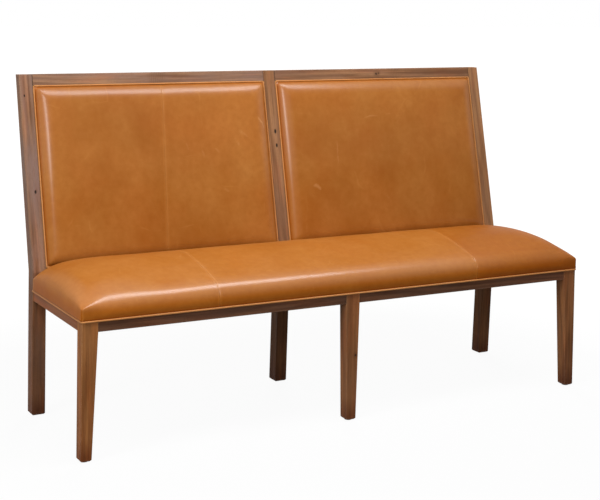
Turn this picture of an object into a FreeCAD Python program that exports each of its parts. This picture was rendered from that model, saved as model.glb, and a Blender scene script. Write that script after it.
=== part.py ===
import FreeCAD, Part
import os
from types import SimpleNamespace

import Sketcher
from FreeCAD import Rotation, Vector

# Driving dimensions in millimetres. Width runs along X, the front faces -Y and Z is up.
SIZES = {
    # Whole bench
    "bench_width": 1830,
    "bench_depth": 636,
    "back_height": 1100,
    "glide_height": 3,
    "edge_ease": 1.5,
    "foot_ease": 4,
    "fit_gap": 0.2,
    "soft_gap": 0.3,
    # Front legs
    "leg_top_width": 50,
    "leg_foot_width": 34,
    "leg_top_depth": 42,
    "leg_foot_depth": 40,
    "leg_flare": 5,
    # Posts that are rear leg and back in one piece
    "post_width": 44,
    "post_seat_depth": 47.5,
    "post_top_depth": 34.7,
    "bend_drop": 71,
    "post_kick": 19,
    # Seat frame
    "frame_depth": 457,
    "seat_build": 102,
    "rail_height": 60,
    "rail_thickness": 24,
    "rail_setback": 2,
    "show_wood_height": 30,
    "staple_rebate": 1.5,
    "head_ease": 4,
    "tenon_thickness": 10,
    "tenon_length": 16,
    "tenon_shoulder": 10,
    # Corner blocks and their screws
    "block_reach": 78,
    "block_height": 34,
    "screw_shank_radius": 2,
    "screw_head_radius": 4.2,
    "screw_head_height": 2.6,
    "screw_bite": 11,
    "screw_inset": 50,
    "screw_seat": 23,
    "seat_screw_bite": 8,
    "seat_screw_inset": 26,
    "seat_screw_sink": 12,
    "drill_gap": 0.25,
    "counterbore_radius": 5,
    # Seat
    "board_thickness": 12,
    "board_rear_lap": 14,
    "seat_height": 547,
    "cover_overhang": 3,
    "cover_thickness": 4,
    "welt_radius": 3,
    "welt_reach": 5,
    "cover_corner_radius": 9,
    "crown_rise": 87,
    "dome_end_reach": 450,
    "dome_corner_radius": 130,
    "dust_cover_thickness": 1,
    # Back panels
    "top_rail_height": 34,
    "rebate_drop": 12,
    "lower_rail_height": 55,
    "rail_reveal": 0.5,
    "rear_reveal": 2,
    "back_board_offset": 5,
    "back_board_thickness": 9,
    "back_board_lap": 26,
    "pad_tuck": 55,
    "pad_stand": 20,
    "pad_edge_radius": 12,
    "back_welt_radius": 2.6,
    "back_welt_corner": 3.5,
    "cleat_width": 20,
    "cleat_screw_bite": 14,
    "cleat_screw_margin": 70,
    "outside_back_thickness": 5,
    # Floor glides
    "glide_radius": 12,
    "glide_edge": 1,
    "glide_pin_radius": 1.6,
    "glide_pin_length": 14,
    "glide_pin_point": 4,
    # Overrun that serves every cut
    "overrun": 5,
}

# The seat's dome, from its shoulder to its crown. Each row gives a section's rise, its inset from the
# front, from each end and from the rear, and how far its corners have opened, as shares of the sizes
# that they follow
SEAT_SECTION_SHARES = (
    (0.000, 0.000, 0.000, 0.000, 0.00),
    (0.138, 0.017, 0.009, 0.028, 0.12),
    (0.345, 0.070, 0.027, 0.070, 0.40),
    (0.552, 0.180, 0.062, 0.100, 0.72),
    (0.713, 0.340, 0.122, 0.170, 0.90),
    (0.862, 0.550, 0.244, 0.340, 0.84),
    (0.966, 0.780, 0.444, 0.590, 0.42),
    (1.000, 0.900, 0.578, 0.740, 0.18),
)

# How deep in a rear rail or a post its tenon lies
REAR_TENON_SHARE = 2 / 3

doc = FreeCAD.newDocument("banquette_bench")
sheet = doc.addObject("Spreadsheet::Sheet", "sizes")
for row, (alias, value) in enumerate(SIZES.items(), start=1):
    sheet.set(f"A{row}", alias)
    sheet.set(f"B{row}", str(value))
    sheet.setAlias(f"B{row}", alias)
doc.recompute()


class Size:
    # A length that knows both its number and the words that bind it to the sheet
    def __init__(self, value, words):
        self.value = value
        self.words = words

    def __add__(self, other):
        other = sized(other)
        return Size(self.value + other.value, f"({self.words} + {other.words})")

    def __sub__(self, other):
        other = sized(other)
        return Size(self.value - other.value, f"({self.words} - {other.words})")

    def __rsub__(self, other):
        return sized(other) - self

    def __mul__(self, other):
        other = sized(other)
        return Size(self.value * other.value, f"({self.words} * {other.words})")

    def __truediv__(self, other):
        other = sized(other)
        return Size(self.value / other.value, f"({self.words} / {other.words})")

    def __neg__(self):
        return self * -1

    __radd__ = __add__
    __rmul__ = __mul__


def sized(number):
    return number if isinstance(number, Size) else Size(number, str(number))


size = SimpleNamespace(**{alias: Size(value, f"<<sizes>>.{alias}") for alias, value in SIZES.items()})
zero = sized(0)

# Places that several pieces share
half_width = size.bench_width / 2
front_face = size.welt_reach - size.bench_depth / 2
post_front = front_face + size.frame_depth
post_bend = size.seat_height - size.bend_drop
rail_top = size.seat_height - size.seat_build
rail_bottom = rail_top - size.rail_height
welt_line = rail_bottom + size.show_wood_height
post_inner = half_width - size.post_width
bay_left = size.post_width / 2
bay_right = post_inner
side_rail_face = half_width - size.rail_setback
side_rail_inner = side_rail_face - size.rail_thickness
front_rail_face = front_face + size.rail_setback
front_rail_inner = front_rail_face + size.rail_thickness
rear_rail_inner = post_front + size.rail_setback
rear_rail_face = rear_rail_inner + size.rail_thickness
leg_back = front_face + size.leg_top_depth
block_bottom = rail_top - size.block_height
block_middle = block_bottom + size.block_height / 2
board_top = rail_top + size.board_thickness
top_rail_bottom = size.back_height - size.top_rail_height
rebate_line = top_rail_bottom - size.rebate_drop
board_rear = rear_rail_inner + size.board_rear_lap
tenon_low = rail_bottom + size.tenon_shoulder
tenon_high = rail_top - size.tenon_shoulder
back_lean = size.bench_depth - size.welt_reach - size.frame_depth - size.post_top_depth
lower_rail_bottom = board_top
lower_rail_top = lower_rail_bottom + size.lower_rail_height
back_board_foot = lower_rail_top - size.back_board_lap
pad_foot = size.seat_height - size.pad_tuck
cover_shoulder = size.seat_height - size.crown_rise
drill_radius = size.screw_shank_radius + size.drill_gap
bays = (("left", -1), ("right", 1))


# Front or rear line of the posts at a height, moved back by an offset
def post_line(height, offset, rear=False):
    above_bend = height - post_bend
    rise = size.back_height - post_bend
    lean = above_bend / rise
    front = post_front + back_lean * lean
    kicked = post_front - size.post_kick * above_bend / post_bend
    depth = size.post_seat_depth + (size.post_top_depth - size.post_seat_depth) * lean
    below = above_bend.value < 0
    line = kicked if below else front
    if rear:
        line = line + (size.post_seat_depth if below else depth)
    return line + offset


# Sketches and the features made from them
def plane_of(body, role):
    return next(feature for feature in body.Origin.OriginFeatures if feature.Role == role)


def sketch_on(body, role, place):
    sketch = body.newObject("Sketcher::SketchObject", "sketch")
    sketch.AttachmentSupport = (plane_of(body, role), [""])
    sketch.MapMode = "FlatFace"
    distance = -place if role == "XZ_Plane" else sized(place)
    sketch.setExpression("AttachmentOffset.Base.z", distance.words)
    return sketch


def pin_point(sketch, curve, end, across, along):
    for kind, place in (("DistanceX", sized(across)), ("DistanceY", sized(along))):
        index = sketch.addConstraint(Sketcher.Constraint(kind, curve, end, place.value))
        sketch.setExpression(f"Constraints[{index}]", place.words)


def outline(sketch, points):
    corners = [Vector(sized(across).value, sized(along).value, 0) for across, along in points]
    count = len(corners)
    for index in range(count):
        sketch.addGeometry(Part.LineSegment(corners[index], corners[(index + 1) % count]), False)
    for index in range(count):
        sketch.addConstraint(Sketcher.Constraint("Coincident", index, 2, (index + 1) % count, 1))
    for index, (across, along) in enumerate(points):
        pin_point(sketch, index, 1, across, along)


def circle(sketch, across, along, radius):
    centre = Vector(sized(across).value, sized(along).value, 0)
    curve = sketch.addGeometry(Part.Circle(centre, Vector(0, 0, 1), radius.value), False)
    pin_point(sketch, curve, 3, across, along)
    index = sketch.addConstraint(Sketcher.Constraint("Radius", curve, radius.value))
    sketch.setExpression(f"Constraints[{index}]", radius.words)


# A run of straight sides with a round corner of the given radius between each two
def rounded_run(sketch, corners, radii, closed=True):
    count = len(corners)
    starts = []
    points = [Vector(sized(across).value, sized(along).value, 0) for across, along in corners]
    last = count if closed else count - 1
    for index in range(last):
        here, there = points[index], points[(index + 1) % count]
        along = (there - here).normalize()
        trim_here = radii[index].value if closed or index > 0 else 0
        trim_there = radii[(index + 1) % count].value if closed or index < last - 1 else 0
        line = Part.LineSegment(here + along * trim_here, there - along * trim_there)
        starts.append(sketch.addGeometry(line, False))
        ends = ((1, index, there - here, trim_here), (2, (index + 1) % count, here - there, trim_there))
        for end, corner, way, trim in ends:
            across_sign = (way.x > 0) - (way.x < 0) if abs(way.x) > abs(way.y) else 0
            along_sign = (way.y > 0) - (way.y < 0) if abs(way.y) > abs(way.x) else 0
            pull = radii[corner] if trim else zero
            across, up = corners[corner]
            pin_point(sketch, starts[-1], end, across + pull * across_sign, up + pull * along_sign)
    for index in range(0 if closed else 1, last):
        radius = radii[index]
        before = starts[index - 1]
        after = starts[index]
        stop, go = sketch.getPoint(before, 2), sketch.getPoint(after, 1)
        corner = points[index]
        centre = stop + go - corner
        middle = centre + (corner - centre).normalize() * radius.value
        arc = Part.Arc(stop, middle, go)
        curve = sketch.addGeometry(arc, False)
        geometry = sketch.Geometry[curve]
        starts_here = (geometry.StartPoint - stop).Length < (geometry.EndPoint - stop).Length
        sketch.addConstraint(Sketcher.Constraint("Coincident", curve, 1 if starts_here else 2, before, 2))
        sketch.addConstraint(Sketcher.Constraint("Coincident", curve, 2 if starts_here else 1, after, 1))
        limit = sketch.addConstraint(Sketcher.Constraint("Radius", curve, radius.value))
        sketch.setExpression(f"Constraints[{limit}]", radius.words)


# A pad or pocket runs from its place along the plane's positive world axis
def pad(body, sketch, role, length):
    feature = body.newObject("PartDesign::Pad", "pad")
    feature.Profile = sketch
    feature.Reversed = role == "XZ_Plane"
    feature.setExpression("Length", length.words)
    return feature


def pocket(body, sketch, role, length):
    feature = body.newObject("PartDesign::Pocket", "pocket")
    feature.Profile = sketch
    feature.Reversed = role != "XZ_Plane"
    feature.setExpression("Length", length.words)
    return feature


def new_body(name):
    body = doc.addObject("PartDesign::Body", name)
    body.Label = name
    return body


def add_profile(body, role, place, length, points):
    sketch = sketch_on(body, role, place)
    outline(sketch, points)
    return pad(body, sketch, role, length)


def cut_profile(body, role, place, length, points):
    sketch = sketch_on(body, role, place)
    outline(sketch, points)
    return pocket(body, sketch, role, length)


def drill(body, role, place, length, centres, radius):
    sketch = sketch_on(body, role, place)
    for across, along in centres:
        circle(sketch, across, along, radius)
    feature = pocket(body, sketch, role, length)
    feature.Refine = False
    return feature


def box_points(low_across, high_across, low_along, high_along):
    return (
        (low_across, low_along),
        (high_across, low_along),
        (high_across, high_along),
        (low_across, high_along),
    )


def eased_points(low_across, high_across, low_along, high_along, ease_size):
    return (
        (low_across + ease_size, low_along),
        (high_across - ease_size, low_along),
        (high_across, low_along + ease_size),
        (high_across, high_along - ease_size),
        (high_across - ease_size, high_along),
        (low_across + ease_size, high_along),
        (low_across, high_along - ease_size),
        (low_across, low_along + ease_size),
    )


def mirrored(points, side):
    return tuple((across * side, along) for across, along in points)


# Chamfer or fillet on the edges that a test picks
def ease(body, edge_test, ease_size, kind="Chamfer"):
    doc.recompute()
    base = body.Tip
    names = [f"Edge{index}" for index, edge in enumerate(base.Shape.Edges, start=1) if edge_test(edge)]
    feature = body.newObject(f"PartDesign::{kind}", "ease")
    feature.Base = (base, names)
    feature.setExpression("Size" if kind == "Chamfer" else "Radius", ease_size.words)
    return feature


def is_upright_edge(edge):
    box = edge.BoundBox
    return box.ZLength > max(box.XLength + box.YLength, size.foot_ease.value * 2)


def lies_at_height(edge, height):
    box = edge.BoundBox
    return max(abs(box.ZMax - height.value), abs(box.ZMin - height.value)) < size.fit_gap.value


# Bore for a floor glide's pin, up into a foot
def bore_foot(body, centre_x, centre_y):
    radius = size.glide_pin_radius + size.drill_gap
    depth = size.glide_pin_length + size.glide_pin_point
    drill(body, "XY_Plane", size.glide_height, depth, [(centre_x, centre_y)], radius)
    foot_centres[body.Label] = (centre_x, centre_y)


foot_centres = {}


# Mortise and tenon sections of the seat rails
def frame_tenon_points(middle, gap):
    half = size.tenon_thickness / 2 + gap
    return box_points(middle - half, middle + half, tenon_low - gap, tenon_high + gap)


front_tenon_line = front_rail_face + size.rail_thickness / 2
rear_tenon_line = rear_rail_inner + size.rail_thickness * REAR_TENON_SHARE
side_tenon_line = side_rail_inner + size.rail_thickness / 2


# Front legs: eased and tapered below the rails, full section to the welt line, rebated head above it
def front_leg(name, side):
    body = new_body(name)
    way = side or 1
    high = half_width if side else size.leg_top_width / 2
    low = high - size.leg_top_width
    foot_high = half_width + size.leg_flare if side else size.leg_foot_width / 2
    foot_low = foot_high - size.leg_foot_width
    foot_back = front_face + size.leg_foot_depth
    toe = size.foot_ease
    sections = (
        (size.glide_height, foot_low + toe, foot_high - toe, front_face + toe, foot_back - toe),
        (size.glide_height + toe, foot_low, foot_high, front_face, foot_back),
        (rail_bottom, low, high, front_face, leg_back),
        (welt_line, low, high, front_face, leg_back),
    )
    sketches = []
    for height, left, right, front, back in sections:
        sketch = sketch_on(body, "XY_Plane", height)
        outline(sketch, mirrored(eased_points(left, right, front, back, size.edge_ease), way))
        sketches.append(sketch)
    taper = body.newObject("PartDesign::AdditiveLoft", "taper")
    taper.Profile = sketches[0]
    taper.Sections = sketches[1:]
    taper.Ruled = True
    head_low = low if side else low + size.staple_rebate
    head_high = high - size.staple_rebate
    head_front = front_face + size.staple_rebate
    head = box_points(head_low, head_high, head_front, leg_back)
    if side:
        head = (
            (head_low, head_front),
            (head_high - size.head_ease, head_front),
            (head_high, head_front + size.head_ease),
            (head_high, leg_back),
            (head_low, leg_back),
        )
    add_profile(body, "XY_Plane", welt_line, rail_top - welt_line, mirrored(head, way))
    inner_places = [low] if side else [low, high - size.tenon_length]
    for inner in inner_places:
        place = inner if way > 0 else -inner - size.tenon_length
        front_mortise = frame_tenon_points(front_tenon_line, size.fit_gap)
        cut_profile(body, "YZ_Plane", place, size.tenon_length, front_mortise)
    rear_mortise = frame_tenon_points(side_tenon_line * side, size.fit_gap)
    cut_profile(body, "XZ_Plane", leg_back - size.tenon_length, size.tenon_length, rear_mortise)
    bore_foot(body, (foot_low + foot_high) / 2 * way, front_face + size.leg_foot_depth / 2)


for label, side in (("left", -1), ("centre", 0), ("right", 1)):
    front_leg(f"front_leg_{label}", side)


# Tenon sections of the two back rails
def top_tenon_points(gap):
    low = top_rail_bottom + size.tenon_shoulder / 2 - gap
    high = size.back_height - size.tenon_shoulder + gap
    near = size.tenon_thickness - gap
    far = size.tenon_thickness * 2 + gap
    return (
        (post_line(low, near), low),
        (post_line(low, far), low),
        (post_line(high, far), high),
        (post_line(high, near), high),
    )


def lower_tenon_points(gap):
    low = lower_rail_bottom + size.tenon_shoulder - gap
    high = lower_rail_top - size.tenon_shoulder + gap
    middle = post_line(post_bend, size.post_seat_depth * REAR_TENON_SHARE)
    half = size.tenon_thickness / 2 + gap
    return box_points(middle - half, middle + half, low, high)


# The cleats' screws enter the posts at three heights, at the middle of the cleat's depth
def cleat_screw_places():
    low = lower_rail_top + size.cleat_screw_margin
    high = rebate_line - size.cleat_screw_margin
    places = []
    for height in (low, (low + high) / 2, high):
        front = post_line(height, size.back_board_offset + size.back_board_thickness)
        rear = post_line(height, -size.rear_reveal - size.outside_back_thickness, rear=True)
        places.append(((front + rear) / 2, height))
    return places


# Posts: one sawn profile from the floor to the top of the back, kicked at the foot, leaned above the seat
def rear_post(name, side):
    body = new_body(name)
    left = half_width * side - size.post_width * (side + 1) / 2
    foot, bend, top = size.glide_height, post_bend, size.back_height
    profile = (
        (post_line(foot, zero), foot),
        (post_line(bend, zero), bend),
        (post_line(top, zero), top),
        (post_line(top, zero, rear=True), top),
        (post_line(bend, zero, rear=True), bend),
        (post_line(foot, zero, rear=True), foot),
    )
    add_profile(body, "YZ_Plane", left, size.post_width, profile)
    ease(body, lambda edge: lies_at_height(edge, foot), size.foot_ease)
    ease(body, is_upright_edge, size.edge_ease)
    for neighbour in (-1, 1):
        if neighbour == side:
            continue
        inner = left if neighbour < 0 else left + size.post_width - size.tenon_length
        mortises = (top_tenon_points(size.fit_gap), lower_tenon_points(size.fit_gap),
                    frame_tenon_points(rear_tenon_line, size.fit_gap))
        for points in mortises:
            cut_profile(body, "YZ_Plane", inner, size.tenon_length, points)
        bite = size.cleat_screw_bite
        face = left if neighbour < 0 else left + size.post_width - bite
        drill(body, "YZ_Plane", face, bite, cleat_screw_places(), drill_radius)
    side_mortise = frame_tenon_points(side_tenon_line * side, size.fit_gap)
    cut_profile(body, "XZ_Plane", post_front, size.tenon_length + size.fit_gap, side_mortise)
    bore_foot(body, left + size.post_width / 2, post_line(foot, size.post_seat_depth / 2))


for label, side in (("left", -1), ("centre", 0), ("right", 1)):
    rear_post(f"rear_post_{label}", side)


# Corner blocks: a name, the corner that it fills, its two ways and how far a leg or post sticks into it
def block_corners():
    cross_face = size.rail_thickness / 2
    leg_notch = leg_back - front_rail_inner
    post_notch = size.rail_setback
    outer_leg = side_rail_inner - half_width + size.leg_top_width
    outer_post = side_rail_inner - post_inner
    centre_leg = size.leg_top_width / 2 - cross_face
    centre_post = size.post_width / 2 - cross_face
    listed = []
    for label, side in bays:
        outer = side_rail_inner * side
        inner = cross_face * side
        listed += [
            (f"corner_block_front_{label}", outer, front_rail_inner, -side, 1, outer_leg, leg_notch),
            (f"corner_block_rear_{label}", outer, rear_rail_inner, -side, -1, outer_post, post_notch),
            (f"centre_block_front_{label}", inner, front_rail_inner, side, 1, centre_leg, leg_notch),
            (f"centre_block_rear_{label}", inner, rear_rail_inner, side, -1, centre_post, post_notch),
        ]
    return listed


# Start of a span that runs from a face the given way
def span_start(face, way, near, length):
    return face + near if way > 0 else face - near - length


def corner_block(name, x, y, way_x, way_y, notch_x, notch_y):
    body = new_body(name)
    clear_x = x + (notch_x + size.fit_gap) * way_x
    clear_y = y + (notch_y + size.fit_gap) * way_y
    points = (
        (x, clear_y),
        (x, y + size.block_reach * way_y),
        (x + size.block_reach * way_x, y),
        (clear_x, y),
        (clear_x, clear_y),
    )
    add_profile(body, "XY_Plane", block_bottom, size.block_height, points)
    lane_x = x + size.screw_inset * way_x
    lane_y = y + size.screw_inset * way_y
    whole = size.block_reach + size.overrun
    # A screw each way, with its head at the foot of a counterbore from the sloping face
    drill(body, "YZ_Plane", span_start(x, way_x, zero, whole), whole, [(lane_y, block_middle)], drill_radius)
    drill(body, "XZ_Plane", span_start(y, way_y, zero, whole), whole, [(lane_x, block_middle)], drill_radius)
    head_x = span_start(x, way_x, size.screw_seat, whole)
    head_y = span_start(y, way_y, size.screw_seat, whole)
    drill(body, "YZ_Plane", head_x, whole, [(lane_y, block_middle)], size.counterbore_radius)
    drill(body, "XZ_Plane", head_y, whole, [(lane_x, block_middle)], size.counterbore_radius)
    seat_place = [(x + size.seat_screw_inset * way_x, y + size.seat_screw_inset * way_y)]
    drill(body, "XY_Plane", block_bottom, size.block_height, seat_place, drill_radius)
    drill(body, "XY_Plane", block_bottom, size.seat_screw_sink, seat_place, size.counterbore_radius)


for corner in block_corners():
    corner_block(*corner)


# Pilot holes that a rail needs for the blocks that stand against the given face
def drill_for_blocks(body, axis, face, side=0):
    for name, x, y, way_x, way_y, notch_x, notch_y in block_corners():
        wall, way = (x, way_x) if axis == "x" else (y, way_y)
        if abs(wall.value - face.value) > size.fit_gap.value or x.value * side < 0:
            continue
        if axis == "x":
            lane = [(y + size.screw_inset * way_y, block_middle)]
        else:
            lane = [(x + size.screw_inset * way_x, block_middle)]
        role = "YZ_Plane" if axis == "x" else "XZ_Plane"
        drill(body, role, span_start(wall, -way, zero, size.screw_bite), size.screw_bite, lane, drill_radius)


# A rail along X between two posts or legs, with a tenon at each end
def cross_grain_rail(name, side, near, far, section, tenon):
    body = new_body(name)
    length = far - near
    tongue = size.tenon_length - size.fit_gap
    place = near if side > 0 else -far
    add_profile(body, "YZ_Plane", place, length, section)
    add_profile(body, "YZ_Plane", place - tongue, length + tongue * 2, tenon)
    return body


def front_apron(name, side):
    section = eased_points(front_rail_face, front_rail_inner, rail_bottom, rail_top, size.edge_ease)
    near = size.leg_top_width / 2
    far = half_width - size.leg_top_width
    tenon = frame_tenon_points(front_tenon_line, zero)
    body = cross_grain_rail(name, side, near, far, section, tenon)
    drill_for_blocks(body, "y", front_rail_inner, side)


# The rear rail stands as high as the seat board and is rebated to take its edge
def rear_apron(name, side):
    lap = board_rear + size.fit_gap
    section = (
        (rear_rail_inner, rail_bottom),
        (rear_rail_face, rail_bottom),
        (rear_rail_face, board_top),
        (lap, board_top),
        (lap, rail_top),
        (rear_rail_inner, rail_top),
    )
    tenon = frame_tenon_points(rear_tenon_line, zero)
    body = cross_grain_rail(name, side, bay_left, bay_right, section, tenon)
    drill_for_blocks(body, "y", rear_rail_inner, side)


# A rail along Y whose rear shoulder is cut to the slope of the post
def long_grain_rail(name, inner, faces):
    body = new_body(name)
    top = rail_top
    section = (
        (leg_back, rail_bottom),
        (post_line(rail_bottom, zero), rail_bottom),
        (post_line(top, zero), top),
        (leg_back, top),
    )
    add_profile(body, "YZ_Plane", inner, size.rail_thickness, section)
    tongue = size.tenon_length - size.fit_gap
    tenon = box_points(leg_back - tongue, post_front + tongue, tenon_low, tenon_high)
    cheek = (size.rail_thickness - size.tenon_thickness) / 2
    add_profile(body, "YZ_Plane", inner + cheek, size.tenon_thickness, tenon)
    for face in faces:
        drill_for_blocks(body, "x", face)


# Top rail, rebated along its lower rear edge so that the back board stands against its lip
def top_rail(name, side):
    top = size.back_height
    lip = size.back_board_offset + size.back_board_thickness + size.fit_gap
    section = (
        (post_line(top_rail_bottom, size.rail_reveal), top_rail_bottom),
        (post_line(top_rail_bottom, lip), top_rail_bottom),
        (post_line(rebate_line, lip), rebate_line),
        (post_line(rebate_line, -size.rail_reveal, rear=True), rebate_line),
        (post_line(top, -size.rail_reveal, rear=True), top),
        (post_line(top, size.rail_reveal), top),
    )
    cross_grain_rail(name, side, bay_left, bay_right, section, top_tenon_points(zero))


def lower_back_rail(name, side):
    low, bend, high = lower_rail_bottom, post_bend, lower_rail_top
    lip = size.back_board_offset + size.back_board_thickness + size.fit_gap
    section = (
        (post_line(low, lip), low),
        (post_line(bend, lip), bend),
        (post_line(high, lip), high),
        (post_line(high, -size.rail_reveal, rear=True), high),
        (post_line(bend, -size.rail_reveal, rear=True), bend),
        (post_line(low, -size.rail_reveal, rear=True), low),
    )
    cross_grain_rail(name, side, bay_left, bay_right, section, lower_tenon_points(zero))


for label, side in bays:
    front_apron(f"front_apron_{label}", side)
    rear_apron(f"rear_apron_{label}", side)
    top_rail(f"top_rail_{label}", side)
    lower_back_rail(f"lower_back_rail_{label}", side)
    inner_face = side_rail_inner * side
    long_grain_rail(f"side_apron_{label}", inner_face if side > 0 else -side_rail_face, [inner_face])
half_rail = size.rail_thickness / 2
long_grain_rail("centre_cross_rail", -half_rail, [-half_rail, half_rail])

# Seat board: notched round the posts, with its rear edges in the rear rails' rebate
skin_x = half_width + size.cover_overhang - size.cover_thickness
skin_y = front_face - size.cover_overhang + size.cover_thickness
board_edge_x = skin_x - size.fit_gap * 2
board_edge_y = skin_y + size.fit_gap * 2
notch_front = post_front - size.fit_gap
board_right = (
    (board_edge_x - size.head_ease, board_edge_y),
    (board_edge_x, board_edge_y + size.head_ease),
    (board_edge_x, notch_front),
    (bay_right - size.fit_gap, notch_front),
    (bay_right - size.fit_gap, board_rear),
    (bay_left + size.fit_gap, board_rear),
    (bay_left + size.fit_gap, notch_front),
)
seat_board = new_body("seat_board")
board_points = board_right + tuple(reversed(mirrored(board_right, -1)))
add_profile(seat_board, "XY_Plane", rail_top, size.board_thickness, board_points)
seat_screw_places = [
    (x + size.seat_screw_inset * way_x, y + size.seat_screw_inset * way_y)
    for name, x, y, way_x, way_y, notch_x, notch_y in block_corners()
]
drill(seat_board, "XY_Plane", rail_top, size.seat_screw_bite, seat_screw_places, drill_radius)


# A level section of the seat. The inset and drop shrink it for the foam and for the cover's inside
def seat_section(body, shares, skin):
    rise, front, end, rear, opening = shares
    inset = skin * (1 - rise)
    height = cover_shoulder + (size.crown_rise - skin) * rise
    reach = (cover_rear - cover_front) / 2
    radius = size.cover_corner_radius + size.dome_corner_radius * opening - inset
    right = half_width + size.cover_overhang - inset - size.dome_end_reach * end
    near = cover_front + inset + reach * front
    far = cover_rear - inset - reach * rear
    corners = box_points(-right, right, near, far)
    sketch = sketch_on(body, "XY_Plane", height)
    rounded_run(sketch, corners, [radius] * len(corners))
    return sketch


def seat_wall(body, low, skin, maker):
    sketch = sketch_on(body, "XY_Plane", low)
    right = half_width + size.cover_overhang - skin
    corners = box_points(-right, right, cover_front + skin, cover_rear - skin)
    rounded_run(sketch, corners, [size.cover_corner_radius - skin] * len(corners))
    return maker(body, sketch, "XY_Plane", cover_shoulder - low)


def seat_dome(body, kind, skin):
    sections = [seat_section(body, shares, skin) for shares in SEAT_SECTION_SHARES]
    dome = body.newObject(f"PartDesign::{kind}", "dome")
    dome.Profile = sections[0]
    dome.Sections = sections[1:]


cover_front = front_face - size.cover_overhang
cover_rear = post_front - size.rail_setback
welt_height = welt_line + size.soft_gap + size.welt_radius
cover_bottom = welt_height + size.welt_radius + size.soft_gap
seat_foam = new_body("seat_foam")
foam_skin = size.cover_thickness + size.soft_gap
seat_wall(seat_foam, board_top, foam_skin, pad)
seat_dome(seat_foam, "AdditiveLoft", foam_skin)

# Seat cover: a skin over foam, board and rails, open below, whose rear edge is tucked in above the board
seat_cover = new_body("seat_cover")
seat_wall(seat_cover, cover_bottom, zero, pad)
seat_dome(seat_cover, "AdditiveLoft", zero)
doc.recompute()
seat_wall(seat_cover, cover_bottom, size.cover_thickness, pocket)
seat_dome(seat_cover, "SubtractiveLoft", size.cover_thickness)
tuck_front = cover_rear - size.cover_corner_radius - size.cover_thickness
tuck = box_points(-skin_x, skin_x, tuck_front, cover_rear + size.overrun)
cut_profile(seat_cover, "XY_Plane", cover_bottom, board_top + size.soft_gap - cover_bottom, tuck)


# A round cord swept along a sketched path
def sweep_cord(body, path, role, place, across, along, radius):
    section = sketch_on(body, role, place)
    circle(section, across, along, radius)
    cord = body.newObject("PartDesign::AdditivePipe", "cord")
    cord.Profile = section
    cord.Spine = (path, [])
    return cord


# Seat welt: along both ends and the front, under the cover's lower edge
seat_welt = new_body("seat_welt")
welt_x = half_width + size.welt_reach - size.welt_radius
welt_y = front_face - size.welt_reach + size.welt_radius
welt_corners = ((-welt_x, cover_rear), (-welt_x, welt_y), (welt_x, welt_y), (welt_x, cover_rear))
welt_path = sketch_on(seat_welt, "XY_Plane", welt_height)
rounded_run(welt_path, welt_corners, [size.cover_corner_radius] * len(welt_corners), closed=False)
sweep_cord(seat_welt, welt_path, "XZ_Plane", cover_rear, -welt_x, welt_height, size.welt_radius)


# Dust cover: one cloth to a bay, under the corner blocks and cut round legs and posts
def dust_cover(name, side):
    body = new_body(name)
    gap = size.soft_gap
    near = half_rail + gap
    far = side_rail_inner - gap
    front = front_rail_inner + gap
    rear = rear_rail_inner - gap
    leg_far = half_width - size.leg_top_width - gap
    leg_near = size.leg_top_width / 2 + gap
    leg_edge = leg_back + gap
    post_edge = post_front - gap
    points = (
        (leg_near, front),
        (leg_far, front),
        (leg_far, leg_edge),
        (far, leg_edge),
        (far, post_edge),
        (bay_right - gap, post_edge),
        (bay_right - gap, rear),
        (bay_left + gap, rear),
        (bay_left + gap, post_edge),
        (near, post_edge),
        (near, leg_edge),
        (leg_near, leg_edge),
    )
    low = block_bottom - size.dust_cover_thickness
    add_profile(body, "XY_Plane", low, size.dust_cover_thickness, mirrored(points, side))


# Back panel pieces: each is a strip between two lines of the posts, carried across the bay
def strip_points(low, high, near, far):
    return (
        (post_line(low, near), low),
        (post_line(low, far), low),
        (post_line(high, far), high),
        (post_line(high, near), high),
    )


def across_bay(body, side, margin, points):
    length = bay_right - bay_left - margin * 2
    place = bay_left + margin if side > 0 else -bay_right + margin
    add_profile(body, "YZ_Plane", place, length, points)


board_face = size.back_board_offset
board_back = size.back_board_offset + size.back_board_thickness
pad_margin = size.back_welt_radius * 2 + size.soft_gap * 2
pad_top = top_rail_bottom - pad_margin


def back_board(name, side):
    body = new_body(name)
    top = top_rail_bottom - size.soft_gap
    across_bay(body, side, size.soft_gap, strip_points(back_board_foot, top, board_face, board_back))


def is_front_rim(edge, front_offset):
    box = edge.BoundBox
    middle = (box.ZMin + box.ZMax) / 2
    place = post_line(sized(middle), front_offset)
    return abs((box.YMin + box.YMax) / 2 - place.value) < size.fit_gap.value


def back_foam(name, side):
    body = new_body(name)
    skin = size.cover_thickness + size.soft_gap
    front = -size.pad_stand + skin
    points = strip_points(pad_foot + skin, pad_top - skin, front, board_face)
    across_bay(body, side, pad_margin + skin, points)
    radius = size.pad_edge_radius - size.cover_thickness
    ease(body, lambda edge: is_front_rim(edge, front), radius, "Fillet")


# Cover of a back pad: a shell that is open towards its board
def back_cover(name, side):
    body = new_body(name)
    front = -size.pad_stand
    rear = board_face - size.soft_gap
    across_bay(body, side, pad_margin, strip_points(pad_foot, pad_top, front, rear))
    ease(body, lambda edge: is_front_rim(edge, front), size.pad_edge_radius, "Fillet")
    doc.recompute()
    base = body.Tip
    faces = enumerate(base.Shape.Faces, start=1)
    rear_faces = [f"Face{index}" for index, face in faces if lies_on_line(face.CenterOfMass, rear)]
    shell = body.newObject("PartDesign::Thickness", "shell")
    shell.Base = (base, rear_faces)
    shell.Reversed = True
    shell.setExpression("Value", size.cover_thickness.words)


def lies_on_line(point, offset):
    return abs(point.y - post_line(sized(point.z), offset).value) < size.fit_gap.value


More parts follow.
